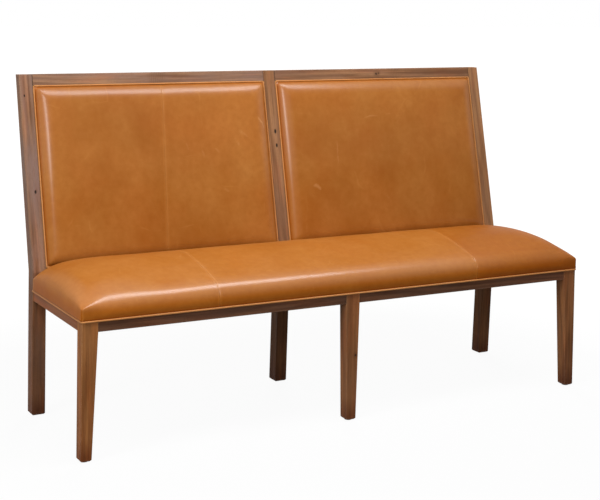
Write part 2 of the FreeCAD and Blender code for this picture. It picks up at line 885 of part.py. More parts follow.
# Outside back: a thin covered panel that follows the rear line of the posts
def outside_back(name, side):
    body = new_body(name)
    low = lower_rail_top + size.soft_gap
    high = rebate_line - size.soft_gap
    near = -size.rear_reveal - size.outside_back_thickness
    far = -size.rear_reveal
    points = (
        (post_line(low, near, rear=True), low),
        (post_line(low, far, rear=True), low),
        (post_line(high, far, rear=True), high),
        (post_line(high, near, rear=True), high),
    )
    across_bay(body, side, size.soft_gap, points)


# Cleats: upright strips on the posts that carry the back board in front and the outside back behind
def back_cleat(name, left):
    body = new_body(name)
    low = lower_rail_top
    near = board_back
    far = -size.rear_reveal - size.outside_back_thickness
    points = (
        (post_line(low, near), low),
        (post_line(low, far, rear=True), low),
        (post_line(rebate_line, far, rear=True), rebate_line),
        (post_line(rebate_line, near), rebate_line),
    )
    add_profile(body, "YZ_Plane", left, size.cleat_width, points)
    drill(body, "YZ_Plane", left, size.cleat_width, cleat_screw_places(), drill_radius)


# Back welt: a closed cord round each pad, laid in the plane of the posts' front faces
def back_welt(name, side):
    body = new_body(name)
    radius = size.back_welt_radius
    rise = size.back_height - post_bend
    slope = f"sqrt(1 + pow({back_lean.words} / {rise.words}; 2))"
    margin = radius + size.soft_gap
    along = Size((1 + (back_lean.value / rise.value) ** 2) ** 0.5, slope)
    low = (pad_foot - post_bend - margin) * along
    high = (top_rail_bottom - post_bend - margin) * along
    left, right = bay_left + margin, bay_right - margin
    if side < 0:
        left, right = -right, -left
    path = sketch_on(body, "XZ_Plane", zero)
    corners = box_points(left, right, low, high)
    rounded_run(path, corners, [size.back_welt_corner] * len(corners))
    sweep_cord(body, path, "YZ_Plane", (left + right) / 2, zero, low, radius)
    body.Placement.Rotation = Rotation(Vector(-1, 0, 0), 1)
    body.setExpression("Placement.Rotation.Angle", f"atan({back_lean.words} / {rise.words})")
    body.setExpression("Placement.Base.y", post_front.words)
    body.setExpression("Placement.Base.z", post_bend.words)


for label, side in bays:
    dust_cover(f"dust_cover_{label}", side)
    back_board(f"back_board_{label}", side)
    back_foam(f"back_foam_{label}", side)
    back_cover(f"back_cover_{label}", side)
    back_welt(f"back_welt_{label}", side)
    outside_back(f"outside_back_{label}", side)
    outer_left = bay_right - size.cleat_width if side > 0 else -bay_right
    inner_left = bay_left if side > 0 else -bay_left - size.cleat_width
    back_cleat(f"back_cleat_{label}_outer", outer_left)
    back_cleat(f"back_cleat_{label}_inner", inner_left)

# Floor glides: a turned disc with an eased rim and a pin that is driven into the foot
glide_profile = (
    (zero, zero),
    (size.glide_radius - size.glide_edge, zero),
    (size.glide_radius, size.glide_edge),
    (size.glide_radius, size.glide_height),
    (size.glide_pin_radius, size.glide_height),
    (size.glide_pin_radius, size.glide_height + size.glide_pin_length),
    (zero, size.glide_height + size.glide_pin_length + size.glide_pin_point - size.fit_gap),
)


def turn(body, profile):
    sketch = sketch_on(body, "XZ_Plane", zero)
    outline(sketch, profile)
    turned = body.newObject("PartDesign::Revolution", "turned")
    turned.Profile = sketch
    turned.ReferenceAxis = (sketch, ["V_Axis"])


for foot_name, (centre_x, centre_y) in foot_centres.items():
    glide = new_body(f"glide_{foot_name}")
    turn(glide, glide_profile)
    glide.setExpression("Placement.Base.x", centre_x.words)
    glide.setExpression("Placement.Base.y", centre_y.words)


# Screws: a turned head and shank with a point, head down at the origin
def screw_master(name, length):
    body = new_body(name)
    head, shank = size.screw_head_radius, size.screw_shank_radius
    profile = (
        (zero, -size.screw_head_height),
        (head / 2, -size.screw_head_height),
        (head, -size.screw_head_height / 2),
        (head, zero),
        (shank, zero),
        (shank, length - shank * 2),
        (zero, length),
    )
    turn(body, profile)
    return body


# A group of like screws, each at a seat and pointing the given way
def screw_group(name, length, seats):
    master = screw_master(f"{name}_pattern", length)
    doc.recompute()
    copies = []
    for x, y, z, way in seats:
        place = Vector(x.value, y.value, z.value)
        copy = master.Shape.copy()
        copy.Placement = FreeCAD.Placement(place, Rotation(Vector(0, 0, 1), Vector(*way)))
        copies.append(copy)
    group = doc.addObject("Part::Feature", name)
    group.Label = name
    group.Shape = Part.Compound(copies)


block_screw_seats = []
seat_screw_seats = []
for name, x, y, way_x, way_y, notch_x, notch_y in block_corners():
    lane_x = x + size.screw_inset * way_x
    lane_y = y + size.screw_inset * way_y
    block_screw_seats.append((x + size.screw_seat * way_x, lane_y, block_middle, (-way_x, 0, 0)))
    block_screw_seats.append((lane_x, y + size.screw_seat * way_y, block_middle, (0, -way_y, 0)))
    seat_x = x + size.seat_screw_inset * way_x
    seat_y = y + size.seat_screw_inset * way_y
    seat_screw_seats.append((seat_x, seat_y, block_bottom + size.seat_screw_sink, (0, 0, 1)))
screw_group("block_screws", size.screw_seat + size.screw_bite, block_screw_seats)
seat_grip = size.block_height - size.seat_screw_sink
screw_group("seat_screws", seat_grip + size.seat_screw_bite, seat_screw_seats)
cleat_screw_seats = []
for side in (-1, 1):
    for y, z in cleat_screw_places():
        cleat_screw_seats.append(((bay_right - size.cleat_width) * side, y, z, (side, 0, 0)))
        cleat_screw_seats.append(((bay_left + size.cleat_width) * side, y, z, (-side, 0, 0)))
screw_group("cleat_screws", size.cleat_width + size.cleat_screw_bite, cleat_screw_seats)

# Check every object, then write one file for each piece
doc.recompute()
failed = [item.Label for item in doc.Objects if {"Invalid", "Error"} & set(item.State)]
pieces = [
    item for item in doc.Objects
    if item.TypeId in ("PartDesign::Body", "Part::Feature") and not item.Label.endswith("_pattern")
]
for piece in pieces:
    shape = piece.Shape
    if shape.isNull() or not shape.isValid() or not shape.Solids:
        failed.append(piece.Label)
    print(piece.Label, len(shape.Solids), round(shape.Volume))
if failed:
    raise SystemExit(f"failed pieces: {failed}")
os.makedirs("parts", exist_ok=True)
for piece in pieces:
    piece.Shape.exportStep(f"parts/{piece.Label}.step")
print(len(pieces), "pieces written")
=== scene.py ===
import math
from contextlib import contextmanager

import bmesh
import bpy
from mathutils import Matrix, Vector, noise


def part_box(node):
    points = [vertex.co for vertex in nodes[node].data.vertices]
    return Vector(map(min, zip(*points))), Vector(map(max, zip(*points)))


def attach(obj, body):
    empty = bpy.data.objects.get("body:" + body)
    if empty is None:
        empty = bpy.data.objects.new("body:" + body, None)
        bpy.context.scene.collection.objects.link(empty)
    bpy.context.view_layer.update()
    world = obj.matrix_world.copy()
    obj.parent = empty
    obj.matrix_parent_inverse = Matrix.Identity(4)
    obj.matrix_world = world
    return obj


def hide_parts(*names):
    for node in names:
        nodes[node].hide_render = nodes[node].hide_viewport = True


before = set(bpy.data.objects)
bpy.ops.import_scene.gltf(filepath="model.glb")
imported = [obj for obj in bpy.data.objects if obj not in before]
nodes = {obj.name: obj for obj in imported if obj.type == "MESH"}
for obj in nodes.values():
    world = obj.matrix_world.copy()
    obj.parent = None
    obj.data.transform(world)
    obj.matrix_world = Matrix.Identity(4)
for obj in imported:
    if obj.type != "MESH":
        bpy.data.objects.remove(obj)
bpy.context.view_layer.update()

print("frame loaded:", len(nodes), "nodes")


# a shader tree: each call adds a node to it
class Tree:
    def __init__(self, nodeTree):
        self.nodeTree = nodeTree

    def feed(self, sockets, inputs):
        for name, value in inputs.items():
            if isinstance(value, Value):
                self.nodeTree.links.new(value.socket, sockets[name])
            else:
                sockets[name].default_value = value

    def add(self, kind, inputs=None, output=0, **settings):
        node = self.nodeTree.nodes.new("ShaderNode" + kind)
        for name, value in settings.items():
            setattr(node, name, value)
        self.feed(node.inputs, inputs or {})
        return Value(self, node.outputs[output])

    def use(self, group, inputs):
        node = self.nodeTree.nodes.new("ShaderNodeGroup")
        node.node_tree = group
        self.feed(node.inputs, inputs)
        return {socket.name: Value(self, socket) for socket in node.outputs}

    def mix(self, factor, first, second, mode="MIX"):
        return self.add("Mix", {0: factor, 6: first, 7: second}, 2, data_type="RGBA", blend_type=mode)

    def bump(self, height, strength, distance):
        return self.add("Bump", {"Height": height, "Strength": strength, "Distance": distance})

    def here(self):
        return self.add("TexCoord", output="Object")

    def mask(self, name):
        return self.add("Attribute", output="Fac", attribute_name=name)


# a value in a shader tree: sums and products of it, and textures over it, become nodes
class Value:
    def __init__(self, tree, socket):
        self.tree = tree
        self.socket = socket

    def maths(self, operation, other=0.0):
        return self.tree.add("Math", {0: self, 1: other}, operation=operation)

    def vector(self, operation, other=(0, 0, 0), output=0):
        return self.tree.add("VectorMath", {0: self, 1: other}, output, operation=operation)

    def __add__(self, other):
        return self.maths("ADD", other)

    def __sub__(self, other):
        return self.maths("SUBTRACT", other)

    def __mul__(self, other):
        return self.maths("MULTIPLY", other)

    def __truediv__(self, other):
        return self.maths("DIVIDE", other)

    def shift(self, offset):
        return self.vector("ADD", offset)

    def stretch(self, scale):
        return self.vector("MULTIPLY", scale)

    def part(self, index):
        return self.tree.add("SeparateXYZ", {0: self}, index)

    def spread(self, low, high, toLow=0.0, toHigh=1.0):
        inputs = {"Value": self, "From Min": low, "From Max": high, "To Min": toLow, "To Max": toHigh}
        return self.tree.add("MapRange", inputs)

    def toned(self, factor, tone, mode="MIX"):
        return self.tree.mix(factor, self, tone, mode)

    def clouds(self, scale, detail=3.0, roughness=0.5):
        inputs = {"Vector": self, "Scale": scale, "Detail": detail, "Roughness": roughness}
        return self.tree.add("TexNoise", inputs, "Fac")

    # clouds drawn out along the grain
    def fibres(self, along, across, detail=3.0, roughness=0.5):
        return self.stretch((along, across, across)).clouds(1.0, detail, roughness)

    def bands(self, way, scale, distortion=0.0, detailScale=1.0, detailRoughness=0.5):
        inputs = {"Vector": self, "Scale": scale, "Distortion": distortion, "Detail Scale": detailScale,
                  "Detail Roughness": detailRoughness}
        return self.tree.add("TexWave", inputs, "Fac", wave_type="BANDS", bands_direction=way)

    def cells(self, scale, randomness=1.0, feature="F1"):
        inputs = {"Vector": self, "Scale": scale, "Randomness": randomness}
        return self.tree.add("TexVoronoi", inputs, "Distance", feature=feature)


# an input is a plain number or the kind of its socket
def newGroup(name, inputs, outputs):
    group = bpy.data.node_groups.new(name, "ShaderNodeTree")
    for label, value in inputs.items():
        kind = value if isinstance(value, str) else "Float"
        socket = group.interface.new_socket(name=label, in_out="INPUT", socket_type="NodeSocket" + kind)
        if kind == "Float":
            socket.default_value = value
    for label, kind in outputs.items():
        group.interface.new_socket(name=label, in_out="OUTPUT", socket_type="NodeSocket" + kind)
    tree = Tree(group)
    given = {socket.name: Value(tree, socket) for socket in group.nodes.new("NodeGroupInput").outputs}
    return tree, given, group.nodes.new("NodeGroupOutput").inputs


def newMaterial(name):
    material = bpy.data.materials.new(name)
    material.use_nodes = True
    return material, Tree(material.node_tree), material.node_tree.nodes["Principled BSDF"].inputs


rake = {"from": 0.476, "slope": 0.2232}  # height where the posts bend, and how far they lean above it


# the object's own place in metres, turned so that the grain runs along the first axis
def alongGrain(tree, axis, offset, raked=False):
    place = tree.here()
    parts = [place.part(index) for index in range(3)]
    if raked:
        parts[1] -= (parts[2] - rake["from"]).maths("MAXIMUM") * rake["slope"]
    order = {"x": (0, 1, 2), "y": (1, 2, 0), "z": (2, 0, 1)}[axis]
    return tree.add("CombineXYZ", {at: parts[part] for at, part in enumerate(order)}).shift(offset)


# edges and arrises that handling has rubbed
def makeRubbedEdges():
    tree, given, out = newGroup("rubbedEdges", {"Radius": 0.003, "Breakup": 0.5}, {"Mask": "Float"})
    bevel = tree.add("Bevel", {"Radius": given["Radius"]}, samples=4)
    edge = bevel.vector("DOT_PRODUCT", tree.add("NewGeometry", output="Normal"), "Value").spread(0.998, 0.9)
    patches = tree.here().clouds(38.0, 4.0, 0.6).spread(0.35, 0.65)
    broken = tree.add("Mix", {0: given["Breakup"], 2: 1.0, 3: patches}, data_type="FLOAT")
    tree.feed(out, {"Mask": edge * broken})
    return tree.nodeTree


# old timber: growth figure, fibres, pores, ruddy and greyed patches, and saw marks across the grain
def makeSawnBoard():
    tones = {"Pale": "Color", "Dark": "Color", "Grey": "Color"}
    tree, given, out = newGroup(
        "sawnBoard", {"Vector": "Vector", **tones, "Greying": 0.4, "Saw Marks": 0.4},
        {"Color": "Color", "Roughness": "Float", "Height": "Float"})
    place, dark = given["Vector"], given["Dark"]
    bent = place.shift(place.fibres(1.1, 5.0, 2.0).stretch((0.0, 0.11, 0.07)))
    figure = bent.stretch((0.015, 1.0, 1.2)).bands("DIAGONAL", 21.0, 1.6, 1.2, 0.6)
    streaks = place.fibres(4.0, 150.0, 4.0, 0.62)
    fibres = place.fibres(34.0, 1500.0, 2.0)
    pores = place.fibres(55.0, 950.0, 1.0).spread(0.30, 0.40)
    broad = place.fibres(2.4, 22.0)
    tone = ((figure * 0.16 + streaks * 0.84) * 0.60 + broad * 0.45).spread(0.42, 0.64)
    colour = tree.mix(tone, dark, given["Pale"])
    greyed = place.fibres(3.2, 16.0, 4.0, 0.6).spread(0.40, 0.66)
    colour = colour.toned(greyed * given["Greying"], given["Grey"])
    ruddy = place.shift((3.7, 1.9, 8.3)).fibres(5.0, 34.0, 3.0, 0.55).spread(0.48, 0.62)
    colour = colour.toned(ruddy * 0.45, (1.16, 0.90, 0.82, 1), "MULTIPLY")
    colour = colour.toned(pores.spread(0.0, 1.0, 0.45, 0.0), dark)
    teeth = place.bands("X", 62.0, 1.6, 3.0)
    sawn = teeth * place.fibres(6.0, 13.0, 2.0).spread(0.52, 0.66) * given["Saw Marks"]
    tree.feed(out, {
        "Color": colour.toned(sawn * 0.35, dark),
        "Roughness": streaks.spread(0.3, 0.7, 0.52, 0.68) + sawn * 0.1,
        "Height": streaks * 0.5 + fibres * 0.25 + pores * 0.35 - sawn * 0.5,
    })
    return tree.nodeTree


# a dark mark in a board with a ragged edge, such as an old nail hole
def makeNailHole():
    tree, given, out = newGroup(
        "nailHole", {"Place": "Vector", "Size": 0.002, "Stretch": "Vector"}, {"Mask": "Float"})
    here = tree.here()
    gap = here.vector("SUBTRACT", given["Place"]).stretch(given["Stretch"]).vector("LENGTH", output="Value")
    gap += (here.clouds(420.0, 2.0) - 0.5) * 0.0016
    tree.feed(out, {"Mask": (gap / given["Size"]).spread(0.75, 1.5, 1.0, 0.0)})
    return tree.nodeTree


# oiled cattle hide that pales where it is pulled: cloudy tones, veins, scuffs and fine grain
def makePullUpHide():
    tones = {"Tan": "Color", "Pale": "Color", "Deep": "Color"}
    tree, given, out = newGroup(
        "pullUpHide", {"Vector": "Vector", **tones, "Clouding": 0.6, "Marks": 0.5, "Pull": 0.0},
        {"Color": "Color", "Roughness": "Float", "Height": "Float", "Wax": "Float"})
    place, pale, deep, clouding = given["Vector"], given["Pale"], given["Deep"], given["Clouding"]
    broad = place.clouds(2.7).spread(0.28, 0.72)
    patchy = place.stretch((1.0, 1.0, 0.7)).clouds(10.0, 4.0).spread(0.15, 0.85)
    mottle = place.clouds(46.0, 4.0, 0.6).spread(0.30, 0.72, 0.0, 0.34)
    colour = tree.mix(broad * clouding, given["Tan"], deep)
    colour = colour.toned(patchy * 0.60 * clouding, pale).toned(mottle, deep)
    ruddy = place.shift((7.3, 2.1, 5.2)).clouds(5.0).spread(0.42, 0.72) * clouding
    colour = colour.toned(ruddy * 0.7, (1.0, 0.88, 0.80, 1), "MULTIPLY")
    warped = place.shift(place.clouds(7.0, 2.0).stretch((0.10, 0.10, 0.16)))
    veins = warped.cells(5.5, feature="DISTANCE_TO_EDGE").spread(0.0, 0.022, 1.0, 0.0)
    rare = place.clouds(11.0).spread(0.55, 0.70)
    scuffs = place.stretch((1.0, 1.0, 3.5)).clouds(22.0, 5.0, 0.7).spread(0.62, 0.78)
    marks = (veins * rare).maths("MAXIMUM", scuffs * 0.55) * given["Marks"]
    pebbles = place.cells(620.0, 0.9)
    tree.feed(out, {
        "Color": colour.toned(marks * 0.65, pale).toned(given["Pull"] * 0.6, pale),
        "Wax": patchy.spread(0.0, 1.0, 1.1, 0.8) - marks * 0.5,
        "Roughness": patchy.spread(0.0, 1.0, 0.46, 0.56) + marks * 0.12,
        "Height": pebbles * -0.35 + place.clouds(130.0, 4.0, 0.62) - marks * 0.2,
    })
    return tree.nodeTree


# a healed scratch: a fine pale line between two places
def makeHealedScratch():
    tree, given, out = newGroup(
        "healedScratch", {"From": "Vector", "To": "Vector", "Width": 0.002}, {"Mask": "Float"})
    here = tree.here()
    here = here.shift(here.clouds(14.0).vector("SUBTRACT", (0.5, 0.5, 0.5)).stretch((0.03, 0.0, 0.03)))
    run = given["To"].vector("SUBTRACT", given["From"])
    gone = here.vector("SUBTRACT", given["From"])
    part = run.vector("DOT_PRODUCT", gone, "Value") / run.vector("DOT_PRODUCT", run, "Value")
    near = run.stretch(part.maths("MAXIMUM").maths("MINIMUM", 1.0))
    line = (gone.vector("DISTANCE", near, "Value") / given["Width"]).spread(0.3, 1.4, 1.0, 0.0)
    tree.feed(out, {"Mask": line * here.clouds(40.0).spread(0.36, 0.56)})
    return tree.nodeTree


rubbedEdges = makeRubbedEdges()
sawnBoard = makeSawnBoard()
nailHole = makeNailHole()
pullUpHide = makePullUpHide()
healedScratch = makeHealedScratch()
print("shader groups made")

# timber: pale and dark of the figure, the grey that weather leaves, and how much of it there is
timber = {
    "back": {"Greying": 0.75, "Saw Marks": 0.55, "Pale": (0.350, 0.186, 0.100, 1),
             "Dark": (0.150, 0.070, 0.036, 1), "Grey": (0.235, 0.150, 0.122, 1)},
    "leg": {"Greying": 0.30, "Saw Marks": 0.35, "Pale": (0.340, 0.137, 0.050, 1),
            "Dark": (0.150, 0.054, 0.018, 1), "Grey": (0.225, 0.122, 0.066, 1)},
    "rail": {"Greying": 0.45, "Saw Marks": 0.35, "Pale": (0.200, 0.088, 0.044, 1),
             "Dark": (0.095, 0.038, 0.018, 1), "Grey": (0.150, 0.088, 0.062, 1)},
    "block": {"Greying": 0.20, "Saw Marks": 0.80, "Pale": (0.520, 0.360, 0.200, 1),
              "Dark": (0.330, 0.205, 0.105, 1), "Grey": (0.420, 0.330, 0.240, 1)},
}
# boards that are greyer than their kind, or tinted; the left front leg's tint is painted light: it is lighter
# because it stands nearest the light from the left
greyer = {"rear_post_left": 1.2, "rear_post_centre": 0.4, "rear_post_right": 0.4, "top_rail_left": 1.1,
          "top_rail_right": 0.5}
tintsAndPaintedLight = {"front_leg_left": (1.40, 1.32, 1.02, 1), "side_apron_left": (1.80, 1.40, 1.00, 1),
          "rear_post_centre": (1.04, 0.96, 0.80, 1), "rear_post_right": (1.28, 1.18, 0.92, 1),
          "top_rail_right": (0.95, 0.90, 0.82, 1)}
# tones of rubbed edges, of holes and joints, of the painted shade on the rear legs below the seat (deeper on
# the centre and right posts), and of scuffed feet
wear = {"rubbed": (0.42, 0.27, 0.17, 1), "hole": (0.018, 0.012, 0.010, 1), "low": (0.70, 0.52, 0.36, 1),
        "lowShaded": (0.44, 0.33, 0.23, 1), "foot": (0.62, 0.50, 0.46, 1)}
# heights that the foot's tone and the painted shade below the seat fade over, width of rubbed edges and of
# joint lines, how a nail hole is flattened, the parts of a knot (reach, strength) and how the saw's
# lines fade out
wearForm = {"foot": (0.075, 0.020), "low": (0.50, 0.40), "shadeShareBelowSeat": 0.85, "edge": 0.0022, "edgeShare": 0.55,
            "joint": (0.0008, 0.0030), "jointShare": 0.75, "hole": (1.15, 1.0, 0.55), "holeDepth": 3.0,
            "halo": (2.6, 0.45), "heart": (1.0, 0.85), "cutFade": 0.02, "cutShare": 0.55}
boardEnds = {"back": (0.022, 0.871), "rail": (0.025, 0.871)}  # places across where rails meet posts and legs
# old nail holes that show on the posts (place, size)
oldHoles = {
    "rear_post_left": (((-0.901, 0.2684, 1.033), 0.0022), ((-0.887, 0.2, 0.727), 0.0032),
                       ((-0.915, 0.139, 0.178), 0.0034)),
    "rear_post_centre": (((0.005, 0.236, 0.888), 0.0040), ((0.006, 0.225, 0.839), 0.0036)),
}
# dark knots (place, size) and places where the saw left close upright lines (across from, to)
knots = {"top_rail_right": (((0.451, 0.2780, 1.083), 0.0042), ((0.462, 0.2785, 1.085), 0.0026)),
         "front_leg_centre": (((0.012, -0.313, 0.215), 0.0034),)}
sawn = {"top_rail_left": (-0.470, -0.395), "top_rail_right": (0.500, 0.560)}


def timberMaterial(name, kind, axis, offset):
    material, tree, shader = newMaterial("timber_" + name)
    tones = {**timber[kind], "Greying": timber[kind]["Greying"] * greyer.get(name, 1.0)}
    grain = alongGrain(tree, axis, offset, raked=kind == "back" and axis == "z")
    board = tree.use(sawnBoard, {"Vector": grain, **tones})
    rubbed = tree.use(rubbedEdges, {"Radius": wearForm["edge"], "Breakup": 0.7})["Mask"]
    colour = board["Color"].toned(rubbed * wearForm["edgeShare"], wear["rubbed"])
    height = board["Height"]
    # tints; the left front leg's is painted light
    if name in tintsAndPaintedLight:
        colour = colour.toned(1.0, tintsAndPaintedLight[name], "MULTIPLY")
    if axis == "z":
        up = tree.here().part(2)
        colour = colour.toned(up.spread(*wearForm["foot"]), wear["foot"], "MULTIPLY")
        # painted shade: the rear posts darker below the seat, deeper on the centre and right posts
        if kind == "back":
            shade = wear["low"] if name.endswith("left") else wear["lowShaded"]
            colour = colour.toned(up.spread(*wearForm["low"], 0.0, wearForm["shadeShareBelowSeat"]), shade, "MULTIPLY")
    for place, size in oldHoles.get(name, ()):
        hole = tree.use(nailHole, {"Place": place, "Size": size, "Stretch": wearForm["hole"]})["Mask"]
        colour = colour.toned(hole, wear["hole"])
        height -= hole * wearForm["holeDepth"]
    for place, size in knots.get(name, ()):
        for (reach, strength), tone in ((wearForm["halo"], tones["Dark"]), (wearForm["heart"], wear["hole"])):
            knot = tree.use(nailHole, {"Place": place, "Size": size * reach, "Stretch": (1, 1, 1)})["Mask"]
            colour = colour.toned(knot * strength, tone)
    if axis == "x" and kind in boardEnds:
        across = tree.here().part(0)
        if name in sawn:
            (start, stop), fade = sawn[name], wearForm["cutFade"]
            zone = across.spread(start, start + fade) * across.spread(stop, stop - fade)
            cuts = grain.bands("X", 46.0, 2.2, 5.0) * zone
            colour = colour.toned(cuts * wearForm["cutShare"], tones["Dark"])
        across = across.maths("ABSOLUTE")
        near, far = [(across - end).maths("ABSOLUTE") for end in boardEnds[kind]]
        joint = near.maths("MINIMUM", far).spread(*wearForm["joint"], wearForm["jointShare"], 0.0)
        colour = colour.toned(joint, wear["hole"])
    tree.feed(shader, {"Base Color": colour, "Roughness": board["Roughness"], "Specular IOR Level": 0.10,
                       "Normal": tree.bump(height, 0.45, 0.0012)})
    return material


# leather: tan, pale and deep tones, how cloudy and how marked it is
hide = {
    "seat": {"Clouding": 0.55, "Marks": 0.45, "Tan": (0.445, 0.150, 0.019, 1),
             "Pale": (0.590, 0.265, 0.078, 1), "Deep": (0.330, 0.094, 0.008, 1)},
    "back": {"Clouding": 0.95, "Marks": 0.50, "Tan": (0.380, 0.126, 0.017, 1),
             "Pale": (0.490, 0.205, 0.050, 1), "Deep": (0.262, 0.073, 0.004, 1)},
    # the welt is paler than the seat: partly its own leather, partly a painted highlight along the round cord
    "welt": {"Clouding": 0.50, "Marks": 0.30, "Tan": (0.590, 0.262, 0.090, 1),
             "Pale": (0.740, 0.400, 0.180, 1), "Deep": (0.460, 0.160, 0.034, 1)},
}
hide["rear"] = {**hide["back"], "Clouding": 0.65, "Marks": 0.45}
# where each outer hide of the seat begins, and its tint: its own tone, which also paints the fall of light
# across the seat, paler on the left hide and darker on the right one
seatHideTintsAndLight = (((-0.474, -0.476), (1.03, 1.05, 1.15, 1)), ((0.487, 0.489), (0.89, 0.79, 0.55, 1)))
# painted shade: the seat's walls darker towards the welt, and a dark band along the back pads' rims
paintedShadeTone, paintedShadeShare = (0.90, 0.72, 0.34, 1), 0.9
scarTone = (0.60, 0.285, 0.100, 1)
gloss = {"specular": 0.07, "roughness": 0.27, "index": 1.60, "facing": (0.28, 0.62), "edgeShare": 0.08}


# leather with a waxed coat reads the masks that its piece carries
def hideMaterial(name, kind, offset, coat=0.0, scratches=()):
    material, tree, shader = newMaterial(name)
    place = tree.here()
    pull = tree.mask("pull") if coat else 0.0
    leather = tree.use(pullUpHide, {"Vector": place.shift(offset), "Pull": pull, **hide[kind]})
    colour = leather["Color"]
    if kind == "seat":
        across = place.part(0)
        # hide tints that also paint the light: the left hide paler, the right hide darker
        for edge, tint in seatHideTintsAndLight:
            colour = colour.toned(across.spread(*edge), tint, "MULTIPLY")
    if coat:
        # painted shade, where the skin's mask marks it
        colour = colour.toned(tree.mask("paintedShade") * paintedShadeShare, paintedShadeTone, "MULTIPLY")
        facing = tree.add("LayerWeight", {"Blend": 0.5}, "Facing")
        wax = facing.spread(*gloss["facing"], coat, coat * gloss["edgeShare"]) * leather["Wax"]
        tree.feed(shader, {"Coat Weight": wax * tree.mask("polish")})
    for start, stop, width, strength in scratches:
        line = tree.use(healedScratch, {"From": start, "To": stop, "Width": width})["Mask"]
        colour = colour.toned(line * strength, scarTone)
    tree.feed(shader, {"Base Color": colour, "Roughness": leather["Roughness"],
                       "Specular IOR Level": gloss["specular"], "Coat Roughness": gloss["roughness"],
                       "Coat IOR": gloss["index"], "Normal": tree.bump(leather["Height"], 0.17, 0.0006)})
    return material


# cabinet plywood: rotary-cut face with long streaks, plies at the edge
def plyMaterial(name):
    material, tree, shader = newMaterial(name)
    place = tree.here().shift((3.1, 1.7, 0.4))
    streaks = place.fibres(3.0, 70.0, 4.0, 0.6)
    tone = (streaks * 0.8 + place.bands("Z", 105.0) * 0.2).spread(0.3, 0.75)
    tree.feed(shader, {"Base Color": tree.mix(tone, (0.36, 0.22, 0.11, 1), (0.60, 0.43, 0.26, 1)),
                       "Roughness": streaks.spread(0.3, 0.7, 0.62, 0.78),
                       "Normal": tree.bump(streaks, 0.3, 0.0006)})
    return material


# zinc-plated screws and staples: drawn lines, dull patches
def zincMaterial(name):
    material, tree, shader = newMaterial(name)
    place = tree.here()
    dull = place.clouds(160.0, 4.0, 0.6)
    lines = place.stretch((1.0, 1.0, 40.0)).clouds(60.0)
    colour = tree.mix(dull.spread(0.35, 0.7), (0.62, 0.60, 0.55, 1), (0.42, 0.40, 0.36, 1))
    tree.feed(shader, {"Base Color": colour, "Roughness": dull.spread(0.3, 0.7, 0.28, 0.52), "Metallic": 1.0,
                       "Normal": tree.bump(lines, 0.2, 0.0002)})
    return material


# moulded floor glides: scuffed where they slide
def glideMaterial(name):
    material, tree, shader = newMaterial(name)
    place = tree.here()
    scuffs = place.stretch((1.0, 6.0, 1.0)).clouds(260.0, 4.0, 0.7).spread(0.48, 0.62)
    worn = scuffs * place.part(2).spread(0.0, 0.0015, 1.0, 0.0)
    tree.feed(shader, {"Base Color": tree.mix(worn, (0.030, 0.024, 0.020, 1), (0.16, 0.14, 0.12, 1)),
                       "Roughness": worn.spread(0.0, 1.0, 0.42, 0.72),
                       "Normal": tree.bump(place.clouds(900.0, 2.0), 0.15, 0.0002)})
    return material


# spunbonded black cloth under the seat
def dustClothMaterial(name):
    material, tree, shader = newMaterial(name)
    place = tree.here()
    strands = place.cells(900.0, feature="DISTANCE_TO_EDGE")
    pressed = place.cells(420.0, 0.15).spread(0.25, 0.40, 1.0, 0.0)
    tone = strands.spread(0.0, 0.2, 0.4, 0.0) + pressed * 0.5
    tree.feed(shader, {"Base Color": tree.mix(tone, (0.012, 0.012, 0.013, 1), (0.040, 0.039, 0.040, 1)),
                       "Roughness": pressed.spread(0.0, 1.0, 0.92, 0.62),
                       "Normal": tree.bump(strands - pressed, 0.4, 0.0003)})
    return material


def dress(name, material):
    node = nodes[name]
    node.data.materials.clear()
    node.data.materials.append(material)


# every wooden piece: its kind, the way its grain runs and the number that its figure starts from
sidePieces = {
    "top_rail_{}": ("back", "x", 6), "front_apron_{}": ("rail", "x", 8), "rear_apron_{}": ("rail", "x", 10),
    "side_apron_{}": ("rail", "y", 12), "lower_back_rail_{}": ("rail", "x", 14),
    "back_cleat_{}_outer": ("block", "z", 16), "back_cleat_{}_inner": ("block", "z", 16),
    "corner_block_front_{}": ("block", "x", 18), "corner_block_rear_{}": ("block", "x", 18),
    "centre_block_front_{}": ("block", "x", 18), "centre_block_rear_{}": ("block", "x", 18),
}
timberPieces = [("centre_cross_rail", "rail", "y", 20)]
for at, label in enumerate(("left", "centre", "right")):
    timberPieces += [(f"front_leg_{label}", "leg", "z", at), (f"rear_post_{label}", "back", "z", at + 3)]
for at, label in enumerate(("left", "right")):
    for name, (kind, axis, start) in sidePieces.items():
        timberPieces.append((name.format(label), kind, axis, start + at))
for name, kind, axis, start in timberPieces:
    dress(name, timberMaterial(name, kind, axis, (start * 1.37, start * 0.71, start * 0.43)))
dress("seat_board", plyMaterial("seatPly"))
for label in ("left", "right"):
    dress(f"back_board_{label}", plyMaterial("backPly_" + label))
zinc = zincMaterial("zincPlate")
for name in ("block_screws", "seat_screws", "cleat_screws"):
    dress(name, zinc)
glideNylon = glideMaterial("glideNylon")
for name in nodes:
    if name.startswith("glide_"):
        dress(name, glideNylon)
print("timber, plywood, screws and glides dressed")


